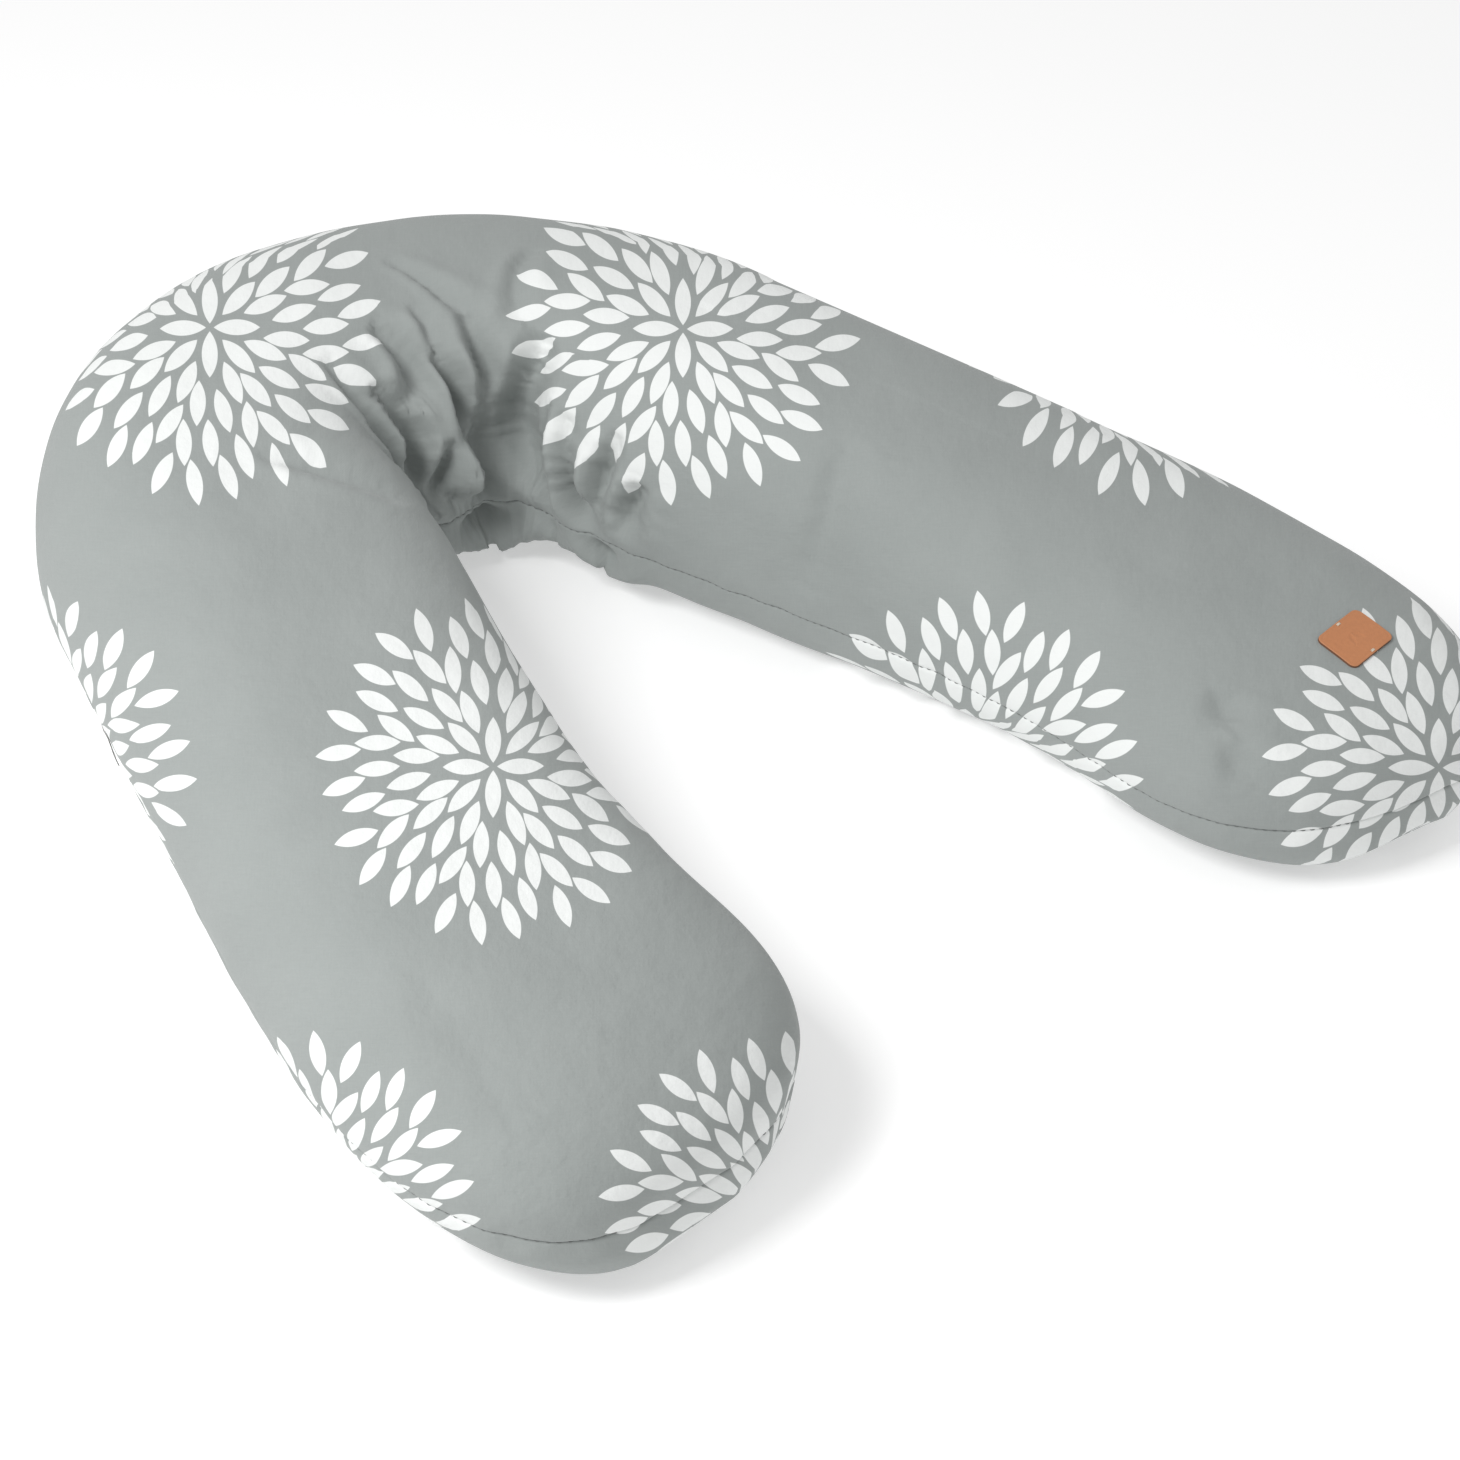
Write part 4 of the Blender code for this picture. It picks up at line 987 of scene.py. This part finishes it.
def inner_threads(cover):
    """The inner cushion's seam all round, with the hand-closed stretch opposite the zip."""
    white = thread_finish("white_thread", (0.82, 0.81, 0.78))
    low, high = -ZIP_MIDDLE - CLOSING_HALF, -ZIP_MIDDLE + CLOSING_HALF
    seams = ((False, -TOE_END, TOE_END), (True, -TOE_END, low - CLOSING_GAP),
             (True, high + CLOSING_GAP, TOE_END))
    inner_thread("liner_seam", cover, "liner_seam_thread", seams, white)
    inner_thread("liner_closing", cover, "liner_closing_stitch", ((True, low, high),), white)


# -------- inner cushion
LINER_INSIDE = 0.0022
FILLING_INSIDE = 0.0040
ZIP_ROOM = 0.0030
ZIP_ROOM_REACH = 0.022
NEARBY_STEPS = 3


def lowest_nearby(values):
    """The smallest value within a few steps of each grid point."""
    padded = np.pad(values, NEARBY_STEPS, mode="edge")
    rows, cols = values.shape
    steps = range(2 * NEARBY_STEPS + 1)
    return np.min([padded[i:i + rows, j:j + cols] for i in steps for j in steps], axis=0)


def inset(cover, panel, depth):
    """A surface that stays under a panel and its creases, and further in behind the zip."""
    by_outer_edge = np.exp(-(panel.from_outer / ZIP_ROOM_REACH) ** 2)
    room = ZIP_ROOM * near_zip(cover.distances)[:, None] * by_outer_edge
    return panel.base + panel.flat_normals * (lowest_nearby(panel.dents) - depth - room)[..., None]


def build_inner_cushion(cover):
    cotton = textured("liner_cotton", (0.84, 0.82, 0.78), 0.9, 1100.0, 0.0001, sheen=0.2)
    for name, panel in (("liner_top", cover.top), ("liner_bottom", cover.bottom)):
        made = grid_object(name, inset(cover, panel, LINER_INSIDE), cotton)
        declare(made, name + "_panel")
    top, bottom = (inset(cover, panel, FILLING_INSIDE) for panel in cover.panels)
    # one closed surface, with every second row, as it is never seen up close
    ring = np.concatenate([top, bottom[:, 1:-1], top[:, :1]], 1)[::2]
    filling = grid_object("bead_fill", ring, foam_beads())
    declare(filling, "bead_filling")


# -------- leather patch
PATCH_RINGS = 36
PATCH_SPOKES = 176
PATCH_THICKNESS = 0.0018
PATCH_EDGE_RADIUS = 0.0006
PATCH_CORNER = 0.0050
PATCH_GAP = 0.0001
PATCH_SKIRT = 0.0002
PROBE_HEIGHT = 0.03
RIM_INSET = 0.0024
RIM_WIDTH = 0.00035
RIM_DEPTH = 0.00012
MARK_DEPTH = 0.00030
MARK_SLOPE = 0.0004
LEAVES = ((-0.0032, math.radians(62)), (0.0032, math.radians(118)))
LEAF_HALF = 0.0052
LEAF_THICK = 0.0017
TACK_THREADS = 4
TACK_LENGTH = 0.0042
TACK_INSET = 0.0014
TACK_PITCH = 0.00042
TACK_ARCH = 0.0003
TACK_SINK = 0.00005
TACK_RADIUS = 0.00026


def node_axes(name):
    """Middle of a flat CAD node, and its long, short and thin directions, the last one up."""
    points = np.array([v.co[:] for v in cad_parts[name].data.vertices])
    middle = 0.5 * (points.min(0) + points.max(0))
    axes = np.linalg.svd(points - points.mean(0), full_matrices=False)[2]
    thin = axes[2] if axes[2][2] > 0 else -axes[2]
    long = axes[0] if axes[0][0] > 0 else -axes[0]
    short = np.cross(thin, long)
    spans = [np.ptp((points - middle) @ axis) for axis in (long, short, thin)]
    return middle, (long, short, thin), spans


def rounded_outline(length, width, corner, count):
    """Points round a rectangle with rounded corners, evenly spaced."""
    points = []
    for quarter in range(4):
        start = quarter * 0.5 * math.pi
        u = math.copysign(length / 2 - corner, math.cos(start + 0.25 * math.pi))
        v = math.copysign(width / 2 - corner, math.sin(start + 0.25 * math.pi))
        for angle in np.linspace(start, start + 0.5 * math.pi, 12):
            points.append((u + corner * math.cos(angle), v + corner * math.sin(angle)))
    points = np.array(points + points[:1])
    at = np.linspace(0, arc_lengths(points)[-1], count, endpoint=False)
    return interpolate(at, arc_lengths(points), points)


def leaf(u, v, at, turn):
    """1 inside a pointed leaf shape, falling to 0 over a short slope."""
    along = (u - at) * math.cos(turn) + v * math.sin(turn)
    off = np.abs(v * math.cos(turn) - (u - at) * math.sin(turn))
    arc = lens_radius(LEAF_HALF, LEAF_THICK)
    return np.clip((arc - np.hypot(along, off + arc - LEAF_THICK)) / MARK_SLOPE, 0.0, 1.0)


def leather_bed(tree, place, u, v, middle, up):
    """Heights under the patch: leather bridges small bumps, so they follow a smooth curve."""
    above = place(u, v, np.full(u.shape, PROBE_HEIGHT)).reshape(-1, 3)
    hits = [tuple(tree.ray_cast(Vector(point), Vector(-up))[0]) for point in above]
    cloth = ((np.array(hits) - middle) @ up).reshape(u.shape)
    terms = np.stack([np.ones_like(u), u, v, u * u, u * v, v * v], -1).reshape(-1, 6)
    bend = np.linalg.lstsq(terms, cloth.ravel(), rcond=None)[0]
    bed = (terms @ bend).reshape(u.shape)
    return bed + (max(0.0, float(np.percentile(cloth - bed, 90))) + PATCH_GAP)


def build_patch(tree):
    """The leather patch bent over the toe, with a small pressed sprig of two leaves."""
    middle, (long, short, up), (length, width, _) = node_axes("leather_patch")

    def place(a, b, height):
        return middle + long * a[..., None] + short * b[..., None] + up * height[..., None]

    outline = rounded_outline(length, width, PATCH_CORNER, PATCH_SPOKES)
    shares = 1.0 - (np.arange(PATCH_RINGS + 1) / PATCH_RINGS) ** 1.6
    shares = np.concatenate([[1.0], shares])
    flat = outline[None] * shares[:, None, None]
    u, v = flat[..., 0], flat[..., 1]
    bed = leather_bed(tree, place, u, v, middle, up)
    inside = (1.0 - shares)[:, None] * np.linalg.norm(outline, axis=1)[None]
    round_edge = np.clip(1.0 - inside / PATCH_EDGE_RADIUS, 0.0, 1.0)
    top = bed + PATCH_THICKNESS - PATCH_EDGE_RADIUS * (1.0 - np.sqrt(1.0 - 0.99 * round_edge ** 2))
    mark = np.maximum(*(leaf(u, v, at, turn) for at, turn in LEAVES))
    rim = np.exp(-((inside - RIM_INSET) / RIM_WIDTH) ** 2)
    top = top - MARK_DEPTH * mark - RIM_DEPTH * rim
    # the first two rows are the underside's edge and the start of the rounded edge
    heights = np.concatenate([bed[:1] - PATCH_SKIRT, top[:1] - PATCH_EDGE_RADIUS * 0.4, top[1:]])
    points = place(np.concatenate([u[:1], u]), np.concatenate([v[:1], v]), heights)
    patch = grid_object("patch", np.concatenate([points, points[:, :1]], 1), leather())
    patch.data.flip_normals()
    patch.data.materials.append(shaded_leather_edge())
    # faces that turn sideways take the darker copy of the leather, as painted shade on the patch's edge
    for face in patch.data.polygons:
        face.material_index = int(abs(face.normal @ Vector(up)) < 0.55)
    declare(patch, "leather_patch")
    tacks(place, up, width, bed, u, v)


def tacks(place, up, width, bed, u, v):
    """A tack of four short threads in the middle of each long edge."""
    thread = thread_finish("tan_thread", (0.66, 0.58, 0.47))
    run = np.linspace(-TACK_LENGTH / 2, TACK_LENGTH / 2, 7)
    arch = TACK_ARCH * np.sin(np.linspace(0, math.pi, 7)) - TACK_SINK
    for side, name in ((-1, "near"), (1, "far")):
        paths = []
        for k in range(TACK_THREADS):
            away = side * (width / 2 - TACK_INSET - TACK_PITCH * k)
            nearest = (np.abs(v - away) + np.abs(u)).argmin()
            level = bed.ravel()[nearest] + PATCH_THICKNESS
            paths.append(place(run, np.full(7, away), level + arch))
        strands("tack_" + name, np.array(paths), up, TACK_RADIUS, thread,
                "patch_tack_" + name)


# -------- zip
COIL_PITCH = 0.0012
COIL_WIRE = 0.00027
COIL_NEAR = 0.0004
COIL_FAR = 0.0032
COIL_LOW = -0.0009
COIL_HIGH = 0.0007
COIL_POINTS = 14
CHAIN_HALF = ZIP_LENGTH / 2 - 0.0030
STITCH_LINE = ZIP_SLOT_HALF + 0.0025
ZIP_STITCH = 0.0025
ZIP_STITCH_PITCH = 0.0032
ZIP_STITCH_RADIUS = 0.00025
BAR_TACK_HALF = ZIP_SLOT_HALF + 0.0015
BAR_TACK_BEYOND = 0.0020
BAR_TACK_RADIUS = 0.00022


def zip_axes(cover):
    """Middle of the zip, and its directions: towards the crown, up the seam and out of the cover."""
    i = int(np.abs(cover.distances - ZIP_MIDDLE).argmin())
    high, low = cover.top.base[i, 0], cover.bottom.base[i, -1]
    toe_side = 0.5 * (cover.top.base[i + 6, 0] + cover.bottom.base[i + 6, -1])
    crown_side = 0.5 * (cover.top.base[i - 6, 0] + cover.bottom.base[i - 6, -1])
    u = unit(crown_side - toe_side)
    v = unit(high - low)
    middle = 0.5 * (high + low)
    shift = ZIP_MIDDLE - cover.distances[i]
    return middle - u * shift, u, v, np.cross(u, v)


def swinging(low, high, swing):
    """A coil's wire between two limits of its outside."""
    return 0.5 * (low + high) + (0.5 * (high - low) - COIL_WIRE) * swing


def zip_teeth(place, along):
    nylon = textured("zip_nylon", (0.42, 0.44, 0.43), 0.38, 1500.0, 0.00003)
    turns = 2 * CHAIN_HALF / COIL_PITCH
    t = np.linspace(0.0, 1.0, int(turns * COIL_POINTS) + 1)
    for side, name, phase in ((1, "upper", 0.0), (-1, "lower", math.pi)):
        angle = 2 * math.pi * turns * t + phase
        b = side * swinging(COIL_NEAR, COIL_FAR, np.cos(angle))
        c = swinging(COIL_LOW, COIL_HIGH, np.sin(angle))
        path = place(CHAIN_HALF * (2 * t - 1), b, c)[None]
        strands("zip_teeth_" + name, path, along, COIL_WIRE, nylon, "zip_coil_" + name,
                sides=5)


def zip_stitches(place, out, thread):
    """A row of stitches along each side of the zip."""
    starts = np.arange(-ZIP_LENGTH / 2, ZIP_LENGTH / 2 - 0.0024, ZIP_STITCH_PITCH)
    a = starts[:, None] + np.linspace(0.0, ZIP_STITCH, 6)
    hump = 0.00022 + 0.00028 * np.sin(np.linspace(0, math.pi, 6))
    for side, name in ((1, "upper"), (-1, "lower")):
        path = place(a, np.full(a.shape, side * STITCH_LINE), np.broadcast_to(hump, a.shape))
        strands("zip_stitches_" + name, path, out, ZIP_STITCH_RADIUS, thread,
                "zip_stitch_" + name)


def bar_tacks(place, out, thread):
    """Seven threads across the zip at each of its ends."""
    rows = np.linspace(-0.0009, 0.0009, 7)[:, None] + np.zeros(9)
    b = np.broadcast_to(np.linspace(-BAR_TACK_HALF, BAR_TACK_HALF, 9), rows.shape)
    c = 0.0004 + 0.0003 * np.cos(np.broadcast_to(np.linspace(-1.4, 1.4, 9), rows.shape))
    for side, name in ((1, "crown"), (-1, "toe")):
        path = place(side * (ZIP_LENGTH / 2 + BAR_TACK_BEYOND) + rows, b, c)
        strands("bar_tack_" + name, path, out, BAR_TACK_RADIUS, thread,
                "zip_bar_tack_" + name)


def build_zip(cover):
    middle, u, v, n = zip_axes(cover)

    def place(a, b, c):
        return middle + a[..., None] * u + b[..., None] * v + c[..., None] * n

    thread = thread_finish("zip_thread", (0.36, 0.38, 0.37))
    zip_teeth(place, u)
    zip_stitches(place, n, thread)
    bar_tacks(place, n, thread)


def finish_zip_nodes():
    """Better materials for the zip pieces whose CAD shape is kept."""
    stops = ("zip_bottom_stop", "zip_top_stop_upper", "zip_top_stop_lower")
    for finish, names in ((zip_metal(), ("zip_slider_body", "zip_pull_tab") + stops),
                          (zip_tape(), ("zip_tape_upper", "zip_tape_lower"))):
        for name in names:
            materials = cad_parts[name].data.materials
            materials.clear()
            materials.append(finish)


# -------- labels
LABEL_WIDTH = 0.030
LABEL_TUCK = 0.001
LABEL_CURL = 0.0035
LABEL_WAVE = 0.0006
LABEL_FROM_ZIP = 0.070
CARE_LABEL_LENGTH = 0.022
INNER_LABEL_LENGTH = 0.013
INNER_LABEL_DEPTH = 0.0092


def hanging_label(name, cover, distance, upto, depth, node, finish):
    """A folded satin label sewn into an outer seam, hanging down over the lower panel.

    At no depth it hangs loose and curls; deeper, it lies flat under the cover.
    """
    rows = np.flatnonzero(np.abs(cover.distances - distance) <= LABEL_WIDTH / 2 + 0.0015)
    half = np.linspace(-LABEL_TUCK, upto, 16)
    down = np.concatenate([half, half[::-1]])
    below = np.clip(down, 0, None)
    out = np.concatenate([np.full(16, 0.0010), np.full(16, 0.0003)])
    points = np.empty((len(rows), len(down), 3))
    panel = cover.bottom
    for k, i in enumerate(rows):
        away = panel.from_outer[i][::-1]
        spot = interpolate(below, away, panel.unrolled[i][::-1])
        face = unit(interpolate(below, away, panel.unrolled_normals[i][::-1]))
        wave = LABEL_WAVE * math.sin(3.0 * k / len(rows) * math.pi)
        curl = LABEL_CURL * (below / upto) ** 2 + wave * below / upto
        lift = out + (curl if depth == 0 else 0.0)
        points[k] = spot + face * (lift - depth)[:, None]
        points[k, :, 2] += np.where(down < 0, LABEL_TUCK, 0.0)
    label = grid_object(name, points, finish)
    label.data.flip_normals()
    declare(label, node)


def build_labels(cover):
    place = ZIP_MIDDLE - LABEL_FROM_ZIP
    hanging_label("care_label", cover, -place, CARE_LABEL_LENGTH, 0.0, "cover_care_label", satin())
    hanging_label("inner_label", cover, place, INNER_LABEL_LENGTH, INNER_LABEL_DEPTH,
                  "liner_care_label", satin())


add_floor()
add_light()
add_camera()
cover = build_cover()
# dark grey thread: painted shade along the seam's groove
seam_shade_stitches(cover, thread_finish("seam_thread", (0.16, 0.17, 0.165)))
build_inner_cushion(cover)
build_patch(BVHTree.FromObject(bpy.data.objects["cover_top"], bpy.context.evaluated_depsgraph_get()))
build_zip(cover)
finish_zip_nodes()
inner_threads(cover)
build_labels(cover)
